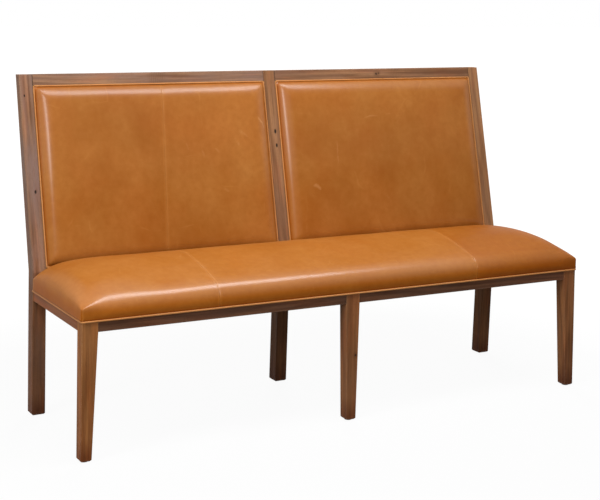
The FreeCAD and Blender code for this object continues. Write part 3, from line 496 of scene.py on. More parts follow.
# the height of a smooth curve through the points
def curveAt(points, at):
    if at <= points[0][0]:
        return points[0][1]
    if at >= points[-1][0]:
        return points[-1][1]
    index = next(i for i in range(len(points) - 1) if points[i + 1][0] >= at)
    (x0, y0), (x1, y1) = points[index], points[index + 1]
    before = points[index - 1] if index else points[index]
    after = points[index + 2] if index + 2 < len(points) else points[index + 1]
    slope0 = (y1 - before[1]) / (x1 - before[0])
    slope1 = (after[1] - y0) / (after[0] - x0)
    run = x1 - x0
    t = (at - x0) / run
    return ((2 * t**3 - 3 * t**2 + 1) * y0 + (t**3 - 2 * t**2 + t) * run * slope0
            + (3 * t**2 - 2 * t**3) * y1 + (t**3 - t**2) * run * slope1)


def ramp(value, low, high):
    t = min(max((value - low) / (high - low), 0.0), 1.0)
    return t * t * (3 - 2 * t)


def hump(away, width):
    return math.exp(-((away / width) ** 2))


# slow unevenness: each wave has a scale in both ways, a start and a height
def unevenness(x, y, waves):
    return sum(noise.noise(Vector((x * wide, y * tall, start))) * height for wide, tall, start, height in waves)


def addObject(name, data):
    thing = bpy.data.objects.new(name, data)
    bpy.context.scene.collection.objects.link(thing)
    return thing


def newPiece(name, points, faces, material):
    mesh = bpy.data.meshes.new(name)
    mesh.from_pydata([tuple(point) for point in points], [], faces)
    mesh.update()
    mesh.materials.append(material)
    return addObject(name, mesh)


@contextmanager
def editing(mesh):
    work = bmesh.new()
    work.from_mesh(mesh)
    yield work
    work.to_mesh(mesh)
    work.free()


def smoothShade(piece):
    for face in piece.data.polygons:
        face.use_smooth = True


def applyModifiers(piece):
    held = piece.evaluated_get(bpy.context.evaluated_depsgraph_get())
    mesh = bpy.data.meshes.new_from_object(held)
    old = piece.data
    piece.modifiers.clear()
    piece.data = mesh
    bpy.data.meshes.remove(old)


def outwards(piece):
    with editing(piece.data) as work:
        bmesh.ops.recalc_face_normals(work, faces=work.faces)


# how a leather skin behaves while stuffing presses it out, and for how many steps
skinSettings = {"quality": 6, "mass": 0.3, "tension_stiffness": 22, "compression_stiffness": 22,
                "shear_stiffness": 8, "bending_stiffness": 2.5, "use_pressure": True,
                "vertex_group_mass": "held"}
skinSteps = 20


# the skin's edge stays fixed and the rest moves no further than the cap
def swell(piece, pinned, form):
    cap = form["cap"]
    rest = [vertex.co.copy() for vertex in piece.data.vertices]
    group = piece.vertex_groups.new(name="held")
    group.add(list(range(len(rest))), form["hold"], "REPLACE")
    group.add(pinned, 1.0, "REPLACE")
    cloth = piece.modifiers.new("skin", "CLOTH")
    for name, value in skinSettings.items():
        setattr(cloth.settings, name, value)
    cloth.settings.uniform_pressure_force = form["pressure"]
    cloth.settings.effector_weights.gravity = 0.0
    cloth.collision_settings.use_collision = False
    cloth.point_cache.frame_start = 1
    cloth.point_cache.frame_end = skinSteps
    for step in range(1, skinSteps + 1):
        bpy.context.scene.frame_set(step)
    applyModifiers(piece)
    bpy.context.scene.frame_set(1)
    furthest = 0.0
    for vertex, start in zip(piece.data.vertices, rest):
        move = vertex.co - start
        furthest = max(furthest, move.length)
        vertex.co = start + move * (cap / (cap + move.length))
    print(f"{piece.name} swelled, furthest {furthest * 1000:.1f} mm")


def subdivide(piece):
    modifier = piece.modifiers.new("finer", "SUBSURF")
    modifier.levels = modifier.render_levels = 1
    modifier.boundary_smooth = "PRESERVE_CORNERS"
    applyModifiers(piece)


# even grid lines, the nearest of them moved onto the extra places
def gridLines(low, high, step, extra=()):
    count = max(1, round((high - low) / step))
    lines = [low + (high - low) * i / count for i in range(count + 1)]
    for place in extra:
        nearest = min(range(len(lines)), key=lambda i: abs(lines[i] - place))
        lines[nearest] = place
    return lines


def gridFaces(high, wide):
    return [(r * wide + c, r * wide + c + 1, (r + 1) * wide + c + 1, (r + 1) * wide + c)
            for r in range(high - 1) for c in range(wide - 1)]


def gridRim(high, wide):
    rim = list(range(wide)) + [r * wide + wide - 1 for r in range(1, high)]
    rim += [(high - 1) * wide + c for c in range(wide - 2, -1, -1)]
    return rim + [r * wide for r in range(high - 2, 0, -1)]


# a new band of faces from the open rim, whose far points are moved
def growRim(work, move):
    rim = [edge for edge in work.edges if edge.is_boundary]
    for item in bmesh.ops.extrude_edge_only(work, edges=rim)["geom"]:
        if isinstance(item, bmesh.types.BMVert):
            move(item)


def closeRim(work):
    bmesh.ops.contextual_create(work, geom=[edge for edge in work.edges if edge.is_boundary])
    bmesh.ops.recalc_face_normals(work, faces=work.faces)


def cutPlane(work, origin, normal, merge):
    parts = list(work.verts) + list(work.edges) + list(work.faces)
    bmesh.ops.bisect_plane(work, geom=parts, dist=merge, plane_co=origin, plane_no=normal)


# seat: one tight cushion over the full width, crowned, with boxed corners
seat = {
    "halfWidth": 0.918, "front": -0.316, "rear": 0.142, "rearAtPads": 0.131,
    "padsFrom": (0.0215, 0.0285), "padsTo": (0.8645, 0.8715), "postEdge": 0.025,
    "foot": 0.4216, "rearFoot": 0.4584, "corner": 0.460, "rise": 0.087, "step": 0.014, "rollSteps": 5,
    "centreLift": 0.007, "liftReach": 0.12, "cornerDip": 0.008, "dipReach": 0.035,
    "rearCornerDip": 0.014, "rearDipReach": 0.030,
    "roll": 0.031, "endRoll": 0.014, "cornerRoll": 0.006, "rearRoll": 0.010, "rollReach": 0.09,
    "rollClear": 1.1, "wallRows": 4, "bulge": 0.0026, "tuck": 0.0014, "lip": 0.003, "underLift": 0.0002,
    "wallNear": 0.004, "wallTouch": 0.0005, "wallEase": (0.01, 0.12),
    # the crown's share of the rise from front to rear, near an end and from there on, and from an end inwards
    "atEnds": ((0, 0.27), (0.012, 0.33), (0.037, 0.49), (0.071, 0.67), (0.114, 0.83), (0.172, 0.943),
               (0.246, 1.0), (0.333, 0.93), (0.403, 0.79), (0.443, 0.64), (0.458, 0.50)),
    "middleFrom": (0.08, 0.30),
    "atMiddle": ((0, 0.24), (0.017, 0.30), (0.037, 0.372), (0.071, 0.49), (0.114, 0.638), (0.172, 0.816),
                 (0.246, 0.950), (0.290, 0.935), (0.345, 0.835), (0.403, 0.690), (0.443, 0.585),
                 (0.458, 0.50)),
    "fromEnd": ((0, 0.25), (0.006, 0.30), (0.015, 0.39), (0.030, 0.53), (0.055, 0.70), (0.110, 0.85),
                (0.200, 0.954), (0.300, 0.99), (0.918, 1.0)),
    "seams": (-0.475, 0.488), "seamDepth": 0.0016, "seamRidge": 0.0007, "seamPale": 0.44,
    "pleat": {"reach": 0.012, "top": (-0.002, 0.012), "depth": 0.0022, "width": 0.0022, "ridge": 0.0008,
              "ridgeAt": 0.004, "ridgeWidth": 0.002, "pale": 0.7},
    "pressure": 4.0, "cap": 0.008, "hold": 0.23, "coat": 0.95, "edgePale": 0.15, "edgeReach": (0.02, 0.03),
    # the painted shade on the walls fades out between these heights over the foot, and stops this far back
    "paintedShadeTop": (0.020, 0.056), "paintedShadeRear": 0.13, "dullFrom": (0.30, 0.70), "dulled": 0.60,
    "waves": ((3.1, 7.0, 4.0, 0.0012), (9.0, 16.0, 9.0, 0.0005)), "waveUpright": 0.5,
}


def padShare(x):  # 1 where a back pad stands behind the seat, 0 at a post
    reach = abs(x)
    return ramp(reach, *seat["padsFrom"]) * (1 - ramp(reach, *seat["padsTo"]))


def seatRear(x):
    return seat["rear"] - (seat["rear"] - seat["rearAtPads"]) * padShare(x)


# how far a place lies from the nearer end, from the front and from the rear
def seatEdges(x, y):
    return max(seat["halfWidth"] - abs(x), 0.0), max(y - seat["front"], 0.0), max(seatRear(x) - y, 0.0)


def seatTop(x, y):
    end, front, rear = seatEdges(x, y)
    middle = ramp(end, *seat["middleFrom"])
    deep = curveAt(seat["atEnds"], front) * (1 - middle) + curveAt(seat["atMiddle"], front) * middle
    height = seat["corner"] + seat["rise"] * curveAt(seat["fromEnd"], end) * deep
    middle = max(0.0, 1 - (x / seat["halfWidth"]) ** 2) ** 2
    height += seat["centreLift"] * middle * math.exp(-front / seat["liftReach"])
    height -= seat["cornerDip"] * math.exp(-(end + front) / seat["dipReach"])
    return height - seat["rearCornerDip"] * math.exp(-(end + rear) / seat["rearDipReach"])


def seatRoll(x, y):
    end, front, rear = seatEdges(x, y)
    away = min(math.hypot(end, front), math.hypot(end, rear))
    full = seat["roll"] if front < rear else seat["rearRoll"]
    if end < min(front, rear):
        full = seat["endRoll"]
    return seat["cornerRoll"] + (full - seat["cornerRoll"]) * ramp(away, 0.0, seat["rollReach"])


def makeSeatSkin():
    half, front, steps = seat["halfWidth"], seat["front"], seat["rollSteps"]
    inner, innerEnd = seat["roll"] * seat["rollClear"], seat["endRoll"] * seat["rollClear"]
    nearWall, touch = seat["wallNear"], seat["wallTouch"]
    (near, far), post = seat["padsTo"], seat["postEdge"]
    across = gridLines(-half + innerEnd, half - innerEnd, seat["step"], (-near, -far, near, far, -post, post))
    along = gridLines(front + inner, seat["rear"] - inner, seat["step"])
    low = [(-1, math.pi / 2 * i / steps, None) for i in range(steps)]
    high = [(1, angle, None) for way, angle, place in reversed(low)]
    columns, rows = [low + [(0, math.pi / 2, place) for place in lines] + high for lines in (across, along)]
    points = []
    for wayY, angleY, placeY in rows:
        for wayX, angleX, placeX in columns:
            x = placeX if placeX is not None else half * wayX
            rear = seatRear(x)
            y = placeY if placeY is not None else (front if wayY < 0 else rear)
            if placeY is not None and rear < seat["rear"]:
                y = front + (y - front) * (rear - front) / (seat["rear"] - front)
            roll = seatRoll(x, y)
            upward = math.sin(angleX) * math.sin(angleY)
            way = Vector((math.cos(angleX) * wayX, math.cos(angleY) * wayY, upward)).normalized()
            point = Vector((x - wayX * roll, y - wayY * roll, 0)) + way * roll
            point.z += seatTop(point.x, point.y) - roll
            points.append(point)
    faces = gridFaces(len(rows), len(columns))
    loop = previous = gridRim(len(rows), len(columns))
    for level in range(1, seat["wallRows"] + 1):
        t = level / seat["wallRows"]
        ring = []
        for index in loop:
            top = points[index]
            atRear = top.y > seatRear(top.x) - touch and abs(top.x) < half - touch
            foot = seat["rearFoot"] if atRear else seat["foot"]
            point = top.copy()
            point.z = top.z + (foot - top.z) * t
            out = seat["bulge"] * math.sin(math.pi * t) - seat["tuck"] * t
            cornerAway = min(half - abs(top.x) + top.y - front, half - abs(top.x) + seatRear(top.x) - top.y)
            out *= ramp(cornerAway, *seat["wallEase"]) if t < 1 else 1
            if abs(top.x) > half - nearWall:
                point.x += math.copysign(out, top.x)
            if top.y < front + nearWall:
                point.y -= out
            ring.append(len(points))
            points.append(point)
        for i in range(len(loop)):
            j = (i + 1) % len(loop)
            faces.append((previous[j], previous[i], ring[i], ring[j]))
        previous = ring
    return points, faces, previous


seatLeather = hideMaterial("seatLeather", "seat", (2.3, 0.4, 1.1), coat=seat["coat"])
points, faces, footRing = makeSeatSkin()
seatCushion = newPiece("seatCushion", points, faces, seatLeather)
swell(seatCushion, footRing, seat)
subdivide(seatCushion)

# a seam: widths of its valley, ridge, puckers, sag and pale band, and the extra lines cut beside it
seamForm = {"valley": 0.0014, "ridge": 0.0020, "ridgeAt": -0.0034, "pucker": 0.014, "puckerShare": 0.7,
            "puckerScale": 48.0, "sag": 0.018, "sagDepth": 0.0012, "pale": 0.0058, "reach": 0.03, "weld": 1e-6,
            "lines": (-0.012, -0.008, -0.005, -0.003, -0.0015, 0.0, 0.0015, 0.003, 0.005, 0.008, 0.012)}


# a plain sewn seam: a sharp valley, a ridge where the turned edges lie, and small puckers beside it
def sewSeam(work, pull, origin, normal, form):
    for offset in seamForm["lines"]:
        cutPlane(work, origin + normal * offset, normal, seamForm["weld"])
    work.normal_update()
    moves = []
    for vertex in work.verts:
        away = (vertex.co - origin).dot(normal)
        if abs(away) > seamForm["reach"]:
            continue
        pucker = noise.noise(vertex.co * seamForm["puckerScale"] + Vector((0, 3, 0))) * seamForm["puckerShare"]
        pucker *= math.exp(-abs(away) / seamForm["pucker"])
        lift = form["seamDepth"] * (pucker - hump(away, seamForm["valley"]))
        lift += form["seamRidge"] * hump(away - seamForm["ridgeAt"], seamForm["ridge"])
        moves.append((vertex, vertex.normal * (lift - seamForm["sagDepth"] * hump(away, seamForm["sag"]))))
        vertex[pull] = min(1.0, vertex[pull] + form["seamPale"] * hump(away, seamForm["pale"]))
    for vertex, move in moves:
        vertex.co += move


# the masks a skin carries: how much the leather pales, where shade is painted on it, and how much coat it has
def maskLayers(work):
    return [work.verts.layers.float.new(name) for name in ("pull", "paintedShade", "polish")]


# lip, inner wall and underside close the cushion above the seat board
def closeSeat(work, pull):
    inset = seat["tuck"] + seat["lip"]
    limit = seat["halfWidth"] - inset

    def tuckIn(vertex):
        x, y = vertex.co.x, vertex.co.y
        vertex.co.x = max(-limit, min(limit, x))
        vertex.co.y = max(seat["front"] + inset, min(seatRear(x) - seat["lip"], y))
        vertex[pull] = 0.0

    def liftUp(vertex):
        vertex.co.z = seat["rearFoot"] + seat["underLift"]

    growRim(work, tuckIn)
    growRim(work, liftUp)
    closeRim(work)


def sewSeat(work):
    pull, paintedShade, polish = maskLayers(work)
    for place in seat["seams"]:
        sewSeam(work, pull, Vector((place, 0, 0)), Vector((1, 0, 0)), seat)
    half, front, pleat = seat["halfWidth"], seat["front"], seat["pleat"]
    fade, nearby = seat["edgeReach"]
    work.normal_update()
    for vertex in work.verts:
        point = vertex.co
        fromEnd, fromFront = half - abs(point.x), point.y - front
        low = 1 - ramp(point.z, *(seat["corner"] + height for height in pleat["top"]))
        if math.hypot(fromEnd, fromFront) < pleat["reach"] and low > 0:  # upright corner pleat
            across = fromEnd - fromFront
            ridge = hump(across - pleat["ridgeAt"], pleat["ridgeWidth"]) * low
            fold = hump(across, pleat["width"]) * low
            point += vertex.normal * (pleat["ridge"] * ridge - pleat["depth"] * fold)
            vertex[pull] = min(1.0, vertex[pull] + pleat["pale"] * ridge)
        if min(half - abs(point.x), point.y - front) < nearby:
            edge = math.exp(-abs(point.z - seatTop(point.x, point.y)) / fade)
            vertex[pull] = min(1.0, vertex[pull] + seat["edgePale"] * edge)
        # painted shade: the walls darker towards the welt, round the front and the ends
        low = 1 - ramp(point.z, *(seat["foot"] + height for height in seat["paintedShadeTop"]))
        vertex[paintedShade] = low if point.y <= seat["paintedShadeRear"] else 0.0
        vertex[polish] = (1 - low) * (1 - seat["dulled"] * ramp(point.x, *seat["dullFrom"]))
        if vertex.normal.z > seat["waveUpright"]:
            point.z += unevenness(point.x, point.y, seat["waves"])
    closeSeat(work, pull)


with editing(seatCushion.data) as work:
    sewSeat(work)
smoothShade(seatCushion)
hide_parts("seat_cover", "seat_foam")
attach(seatCushion, "root")
print("seat cushion made:", len(seatCushion.data.vertices), "points")

# the line of the posts' fronts above the seat, and how it leans
lean = {"foot": (0.144, 0.476), "top": (0.2833, 1.100)}
rakeUp = Vector((0, lean["top"][0] - lean["foot"][0], lean["top"][1] - lean["foot"][1])).normalized()
rakeOut = Vector((0, -rakeUp.z, rakeUp.y))  # square to the back, towards the sitter
rakeFoot = Vector((0, *lean["foot"]))


def onBack(x, up, out):  # up is a height above the floor
    along = (up - lean["foot"][1]) / rakeUp.z
    return Vector((x, 0, 0)) + rakeFoot + rakeUp * along + rakeOut * out


# grid lines that stand close together where the edges roll over
def rolledLines(low, high, form):
    turns = [math.pi / 2 * i / form["rollSteps"] for i in range(form["rollSteps"])]
    edge = [form["roll"] * (1 - math.cos(turn)) for turn in turns]
    inner = gridLines(low + form["roll"], high - form["roll"], form["step"])
    return [low + d for d in edge] + inner + [high - d for d in reversed(edge)]


# a panel whose edges roll down, mitred at the corners: place takes a point across and up, how far it has
# risen over the roll, and how near the panel's middle it is
def panelSkin(low, high, foot, top, form, place):
    columns, rows = rolledLines(low, high, form), rolledLines(foot, top, form)
    power = form["mitre"]
    points = []
    for up in rows:
        for x in columns:
            edges = min(x - low, high - x) / form["roll"], min(up - foot, top - up) / form["roll"]
            rim = sum(max(0.0, 1 - edge) ** power for edge in edges) ** (1 / power)
            risen = math.sqrt(max(0.0, 1 - min(rim, 1.0) ** 2))
            aside, aloft = (2 * x - low - high) / (high - low), (2 * up - foot - top) / (top - foot)
            points.append(place(x, up, risen, max(0.0, (1 - aside ** 2) * (1 - aloft ** 2))))
    return points, gridFaces(len(rows), len(columns)), gridRim(len(rows), len(columns))


# back pads: tight panels whose edges roll down to a welt
back = {
    "near": 0.0278, "far": 0.8652, "foot": 0.492, "top": 1.0602, "stand": 0.0190, "roll": 0.040,
    "crown": 0.0030, "fullness": 0.7, "mitre": 6.0, "step": 0.020, "rollSteps": 7, "rear": -0.0044,
    "pressure": 4.0, "cap": 0.005, "hold": 0.22,
    "seam": {"top": -0.4235, "foot": -0.4525}, "seamDepth": 0.0007, "seamRidge": 0.0003, "seamPale": 0.36,
    "edgePale": 0.12, "edgePaleAt": 0.012, "edgePaleWidth": 0.010, "paintedShadeWidth": 0.009, "coat": 0.72,
    "dullEdge": (0.026, 0.050), "dulled": 0.75, "shineUp": (0.66, 0.86), "lowShine": 0.35,
    "waves": ((4.0, 3.0, 0.0011), (11.0, 5.0, 0.0004)), "waveEdge": (0.02, 0.06), "scratchOut": 0.02,
}
# healed scratches that show on the pads: across and up of both ends, width, strength
backScratches = {
    "left": ((-0.400, 0.712, -0.318, 0.672, 0.0035, 0.60), (-0.226, 0.706, -0.210, 0.694, 0.0055, 0.60),
             (-0.145, 0.893, -0.122, 0.872, 0.0050, 0.50), (-0.165, 0.868, -0.158, 0.845, 0.0050, 0.45),
             (-0.352, 0.857, -0.345, 0.842, 0.0050, 0.50), (-0.300, 0.828, -0.292, 0.812, 0.0045, 0.45),
             (-0.245, 0.835, -0.232, 0.826, 0.0050, 0.45), (-0.070, 0.935, -0.040, 0.893, 0.0030, 0.45),
             (-0.610, 0.800, -0.560, 0.815, 0.0035, 0.40)),
    "right": ((0.211, 0.904, 0.495, 0.933, 0.0034, 0.60), (0.242, 0.843, 0.233, 0.762, 0.0042, 0.55),
              (0.560, 0.720, 0.640, 0.690, 0.0035, 0.45), (0.330, 0.985, 0.300, 0.880, 0.0026, 0.35),
              (0.130, 0.690, 0.150, 0.676, 0.0050, 0.45), (0.420, 0.640, 0.436, 0.632, 0.0050, 0.45)),
}


def padPoint(x, up, risen, middle):
    return onBack(x, up, back["stand"] * risen + back["crown"] * middle ** back["fullness"])


def sewPad(work, side, low, high):
    pull, paintedShade, polish = maskLayers(work)
    if side < 0:
        upper = onBack(back["seam"]["top"], back["top"], 0)
        lower = onBack(back["seam"]["foot"], back["foot"], 0)
        sewSeam(work, pull, lower, (upper - lower).cross(rakeOut).normalized(), back)
    waves = [(scale, scale, start * side, height) for scale, start, height in back["waves"]]
    for vertex in work.verts:
        point = vertex.co
        up = lean["foot"][1] + (point - rakeFoot).dot(rakeUp) * rakeUp.z
        edge = min(point.x - low, high - point.x, up - back["foot"], back["top"] - up)
        paled = back["edgePale"] * hump(edge - back["edgePaleAt"], back["edgePaleWidth"])
        vertex[pull] = min(1.0, vertex[pull] + paled)
        # painted shade in a band along the rim, by the welt
        vertex[paintedShade] = 1 - ramp(edge, 0.0, back["paintedShadeWidth"])
        shine = back["lowShine"] + (1 - back["lowShine"]) * ramp(up, *back["shineUp"])
        vertex[polish] = shine * (1 - back["dulled"] * ramp(edge, *back["dullEdge"]))
        point += rakeOut * unevenness(point.x, point.z, waves) * ramp(edge, *back["waveEdge"])

    def pushBack(vertex):
        vertex.co += rakeOut * (back["rear"] - (vertex.co - rakeFoot).dot(rakeOut))

    growRim(work, pushBack)
    closeRim(work)


def makeBackPad(label, side):
    out = back["scratchOut"]
    lines = [(onBack(x0, up0, out), onBack(x1, up1, out), width, strength)
             for x0, up0, x1, up1, width, strength in backScratches[label]]
    leather = hideMaterial("backLeather_" + label, "back", (side * 1.9 + 4.0, 0.7, 2.6), back["coat"], lines)
    low, high = sorted((back["near"] * side, back["far"] * side))
    points, faces, rim = panelSkin(low, high, back["foot"], back["top"], back, padPoint)
    pad = newPiece("backPad_" + label, points, faces, leather)
    swell(pad, rim, back)
    subdivide(pad)
    with editing(pad.data) as work:
        sewPad(work, side, low, high)
    smoothShade(pad)
    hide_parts(f"back_cover_{label}", f"back_foam_{label}")
    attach(pad, "root")
    print("back pad made:", label, len(pad.data.vertices), "points")


makeBackPad("left", -1)
makeBackPad("right", 1)

# welts: covered cords round the seat's lower edge and round each back pad
seatWelt = {"radius": 0.0030, "corner": 0.008, "height": 0.4183, "x": 0.917, "front": -0.315, "rear": 0.142}
backWelt = {"radius": 0.0026, "corner": 0.0035, "margin": 0.0029, "across": (0.022, 0.871),
            "up": (0.492, 1.066)}
weltCord = {"sides": 12, "step": 0.006, "bendParts": 4, "lumps": ((160.0, 0.035), (35.0, 0.03))}
weltLeather = hideMaterial("weltLeather", "welt", (0.9, 3.2, 0.6))


# a round cord along a path, with the slight lumps of turned leather
def makeWelt(name, corners, outward, form, closed, stands):
    path = roundedPath(corners, form["corner"], closed)
    count, sides = len(path), weltCord["sides"]
    points, faces = [], []
    for index, place in enumerate(path):
        before = path[index - 1] if closed or index else place
        after = path[(index + 1) % count] if closed or index + 1 < count else place
        run = (after - before).normalized()
        out = (outward - run * outward.dot(run)).normalized()
        side = run.cross(out)
        lump = sum(high * noise.noise(place * scale) for scale, high in weltCord["lumps"])
        radius = form["radius"] * (1 + lump)
        for turn in range(sides):
            angle = math.tau * turn / sides
            points.append(place + (out * math.cos(angle) + side * math.sin(angle)) * radius)
    for index in range(count if closed else count - 1):
        here, onward = index * sides, (index + 1) % count * sides
        for turn in range(sides):
            beside = (turn + 1) % sides
            faces.append((here + turn, here + beside, onward + beside, onward + turn))
    if not closed:
        faces.append(tuple(range(sides)))
        faces.append(tuple((count - 1) * sides + turn for turn in reversed(range(sides))))
    welt = newPiece(name, points, faces, weltLeather)
    outwards(welt)
    smoothShade(welt)
    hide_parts(stands)
    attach(welt, "root")


def roundedPath(corners, radius, closed):
    places = []
    count, bendParts = len(corners), weltCord["bendParts"]
    for index, corner in enumerate(corners):
        if not closed and index in (0, count - 1):
            places.append(corner)
            continue
        inward = (corners[index - 1] - corner).normalized()
        onward = (corners[(index + 1) % count] - corner).normalized()
        start, stop = corner + inward * radius, corner + onward * radius
        centre = start + stop - corner
        for part in range(bendParts + 1):
            angle = part / bendParts * math.pi / 2
            places.append(centre + (start - centre) * math.cos(angle) + (stop - centre) * math.sin(angle))
    filled = []
    for index in range(len(places) if closed else len(places) - 1):
        here, there = places[index], places[(index + 1) % len(places)]
        parts = max(1, round((there - here).length / weltCord["step"]))
        filled += [here.lerp(there, part / parts) for part in range(parts)]
    if not closed:
        filled.append(places[-1])
    return filled


corners = [Vector((side * seatWelt["x"], seatWelt[end], seatWelt["height"]))
           for side, end in ((-1, "rear"), (-1, "front"), (1, "front"), (1, "rear"))]
makeWelt("seatWelt", corners, Vector((0, 0, 1)), seatWelt, False, "seat_welt")
for label, side in (("left", -1), ("right", 1)):
    margin = backWelt["margin"]
    near, far = backWelt["across"]
    low, high = sorted(((near + margin) * side, (far - margin) * side))
    bottom, top = [height - margin for height in backWelt["up"]]
    corners = [onBack(low, bottom, 0), onBack(high, bottom, 0), onBack(high, top, 0), onBack(low, top, 0)]
    makeWelt("backWelt_" + label, corners, rakeOut, backWelt, True, f"back_welt_{label}")
print("welts made")

# outside backs: leather drawn over thin panels, gently crowned, with turned edges
outside = {"crown": 0.0012, "fullness": 0.6, "roll": 0.004, "rollSteps": 4, "mitre": 4.0, "step": 0.03,
           "thick": 0.0048, "cornerNear": 0.002, "waves": ((5, 5, 8, 0.0004),)}


def makeOutsideBack(label):
    low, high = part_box(f"outside_back_{label}")
    corners = [vertex.co for vertex in nodes[f"outside_back_{label}"].data.vertices]
    near = outside["cornerNear"]
    rearLow = max((v for v in corners if v.z < low.z + near), key=lambda v: v.y).copy()
    rearHigh = max((v for v in corners if v.z > high.z - near), key=lambda v: v.y).copy()
    along = Vector((0, rearHigh.y - rearLow.y, rearHigh.z - rearLow.z))
    tall = along.length
    along.normalize()
    out = Vector((0, along.z, -along.y))

    def place(x, up, risen, middle):
        lift = outside["crown"] * middle ** outside["fullness"] + unevenness(x, up, outside["waves"])
        lift -= outside["roll"] * (1 - risen)
        return Vector((x, rearLow.y, rearLow.z)) + along * up + out * lift

    def pushIn(vertex):
        vertex.co += out * (-outside["thick"] - (vertex.co - rearLow).dot(out))

    points, faces, rim = panelSkin(low.x, high.x, 0.0, tall, outside, place)
    material = hideMaterial("rearLeather_" + label, "rear", (low.x * 2 + 6.0, 1.3, 0.2))
    panel = newPiece("outsideBack_" + label, points, faces, material)
    with editing(panel.data) as work:
        growRim(work, pushIn)
        closeRim(work)
    smoothShade(panel)
    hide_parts(f"outside_back_{label}")
    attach(panel, "root")


makeOutsideBack("left")
makeOutsideBack("right")
print("outside backs made")

# dust covers: thin cloth stapled under the seat, sagging a little between the staples
dust = {"sag": 0.0035, "sagReach": 0.16, "step": 0.02, "clear": 0.0008, "waves": ((14, 14, 2, 0.0008),),
        "waveReach": 0.03, "weld": 1e-5}
staple = {"gap": 0.045, "inset": 0.006, "end": 0.02, "length": 0.010, "leg": 0.0008, "thick": 0.0006,
          "wide": 0.0010, "down": 0.0003, "shortest": 0.10, "astray": 0.006, "askew": 0.5,
          "crownDrop": 0.6, "wireRise": 0.5, "wireTop": 0.7}
dustCloth = dustClothMaterial("dustCloth")


def dustOutline(label):
    work = bmesh.new()
    work.from_mesh(nodes[f"dust_cover_{label}"].data)
    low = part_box(f"dust_cover_{label}")[0].z
    bmesh.ops.remove_doubles(work, verts=work.verts, dist=dust["weld"])
    under = [face for face in work.faces if all(abs(v.co.z - low) < dust["weld"] for v in face.verts)]
    rim = [e for face in under for e in face.edges if sum(1 for f in e.link_faces if f in under) == 1]
    joined = {}
    for e in rim:
        a, b = e.verts
        joined.setdefault(a, []).append(b)
        joined.setdefault(b, []).append(a)
    start = here = rim[0].verts[0]
    last, outline = None, []
    while here is not start or not outline:
        outline.append((here.co.x, here.co.y))
        last, here = here, next(v for v in joined[here] if v is not last)
    work.free()
    return outline, low


def makeDustCover(label):
    outline, low = dustOutline(label)
    xs, ys = zip(*outline)
    mesh = bpy.data.meshes.new("dustCover_" + label)
    with editing(mesh) as work:
        work.faces.new([work.verts.new((x, y, low + dust["clear"])) for x, y in outline])
        for places, way in ((xs, Vector((1, 0, 0))), (ys, Vector((0, 1, 0)))):
            for place in gridLines(min(places), max(places), dust["step"])[1:-1]:
                cutPlane(work, way * place, way, dust["weld"])
        for vertex in work.verts:
            spot = vertex.co.xy
            away = []
            for index in range(len(outline)):
                start = Vector(outline[index - 1])
                run = Vector(outline[index]) - start
                t = max(0.0, min(1.0, (spot - start).dot(run) / run.length_squared))
                away.append((spot - start - run * t).length)
            ripple = unevenness(spot.x, spot.y, dust["waves"]) * ramp(min(away), 0.0, dust["waveReach"])
            vertex.co.z -= dust["sag"] * ramp(min(away), 0.0, dust["sagReach"]) + ripple
        area = sum(face.calc_area() for face in work.faces)
    mesh.materials.append(dustCloth)
    cloth = addObject("dustCover_" + label, mesh)
    smoothShade(cloth)
    width, depth = max(xs) - min(xs), max(ys) - min(ys)
    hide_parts(f"dust_cover_{label}")
    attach(cloth, "root")
    min(area, width * depth)
    return outline, low


# flat wire staples round the edge of a dust cover, a little askew as a hand tool leaves them
def makeStaples(label, outline, low):
    half, leg, thick, narrow = staple["length"] / 2, staple["leg"], staple["thick"], staple["wireTop"]
    middle = sum((Vector(place) for place in outline), Vector((0, 0))) / len(outline)
    points, faces = [], []
    for index in range(len(outline)):
        start, stop = Vector(outline[index - 1]), Vector(outline[index])
        run = stop - start
        if run.length < staple["shortest"]:
            continue
        way = run.normalized()
        inward = Vector((-way.y, way.x))
        if inward.dot(middle - (start + stop) / 2) < 0:
            inward = -inward
        length = run.length - 2 * staple["end"]
        count = round(length / staple["gap"])
        for place in range(count + 1):
            astray = noise.noise(Vector((index, place * 3.7, 1))) * staple["astray"]
            turn = noise.noise(Vector((place * 2.3, index, 5))) * staple["askew"]
            line = Matrix.Rotation(turn, 2) @ way
            across = Vector((-line.y, line.x)) * staple["wide"] / 2
            centre = start + way * (staple["end"] + length * place / count + astray) + inward * staple["inset"]
            first = len(points)
            # four stations along the wire: its crown lies flat and its ends turn down
            for reach, drop in ((-half, 0.0), (-half + leg, thick), (half - leg, thick), (half, 0.0)):
                for side, rise in ((-1, 0), (1, 0), (narrow, 1), (-narrow, 1)):
                    spot = centre + line * reach + across * side
                    down = staple["down"] + drop * staple["crownDrop"] + rise * thick * staple["wireRise"]
                    points.append((spot.x, spot.y, low - down))
            for here in range(first, first + 12, 4):
                for turn in range(4):
                    beside = (turn + 1) % 4
                    faces.append((here + turn, here + beside, here + beside + 4, here + turn + 4))
            faces += [tuple(range(first + 3, first - 1, -1)), tuple(range(first + 12, first + 16))]
    staples = newPiece("dustStaples_" + label, points, faces, zinc)
    outwards(staples)
    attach(staples, "root")
    print("staples:", label, len(faces) // 14)


for label in ("left", "right"):
    makeStaples(label, *makeDustCover(label))
print("dust covers made")

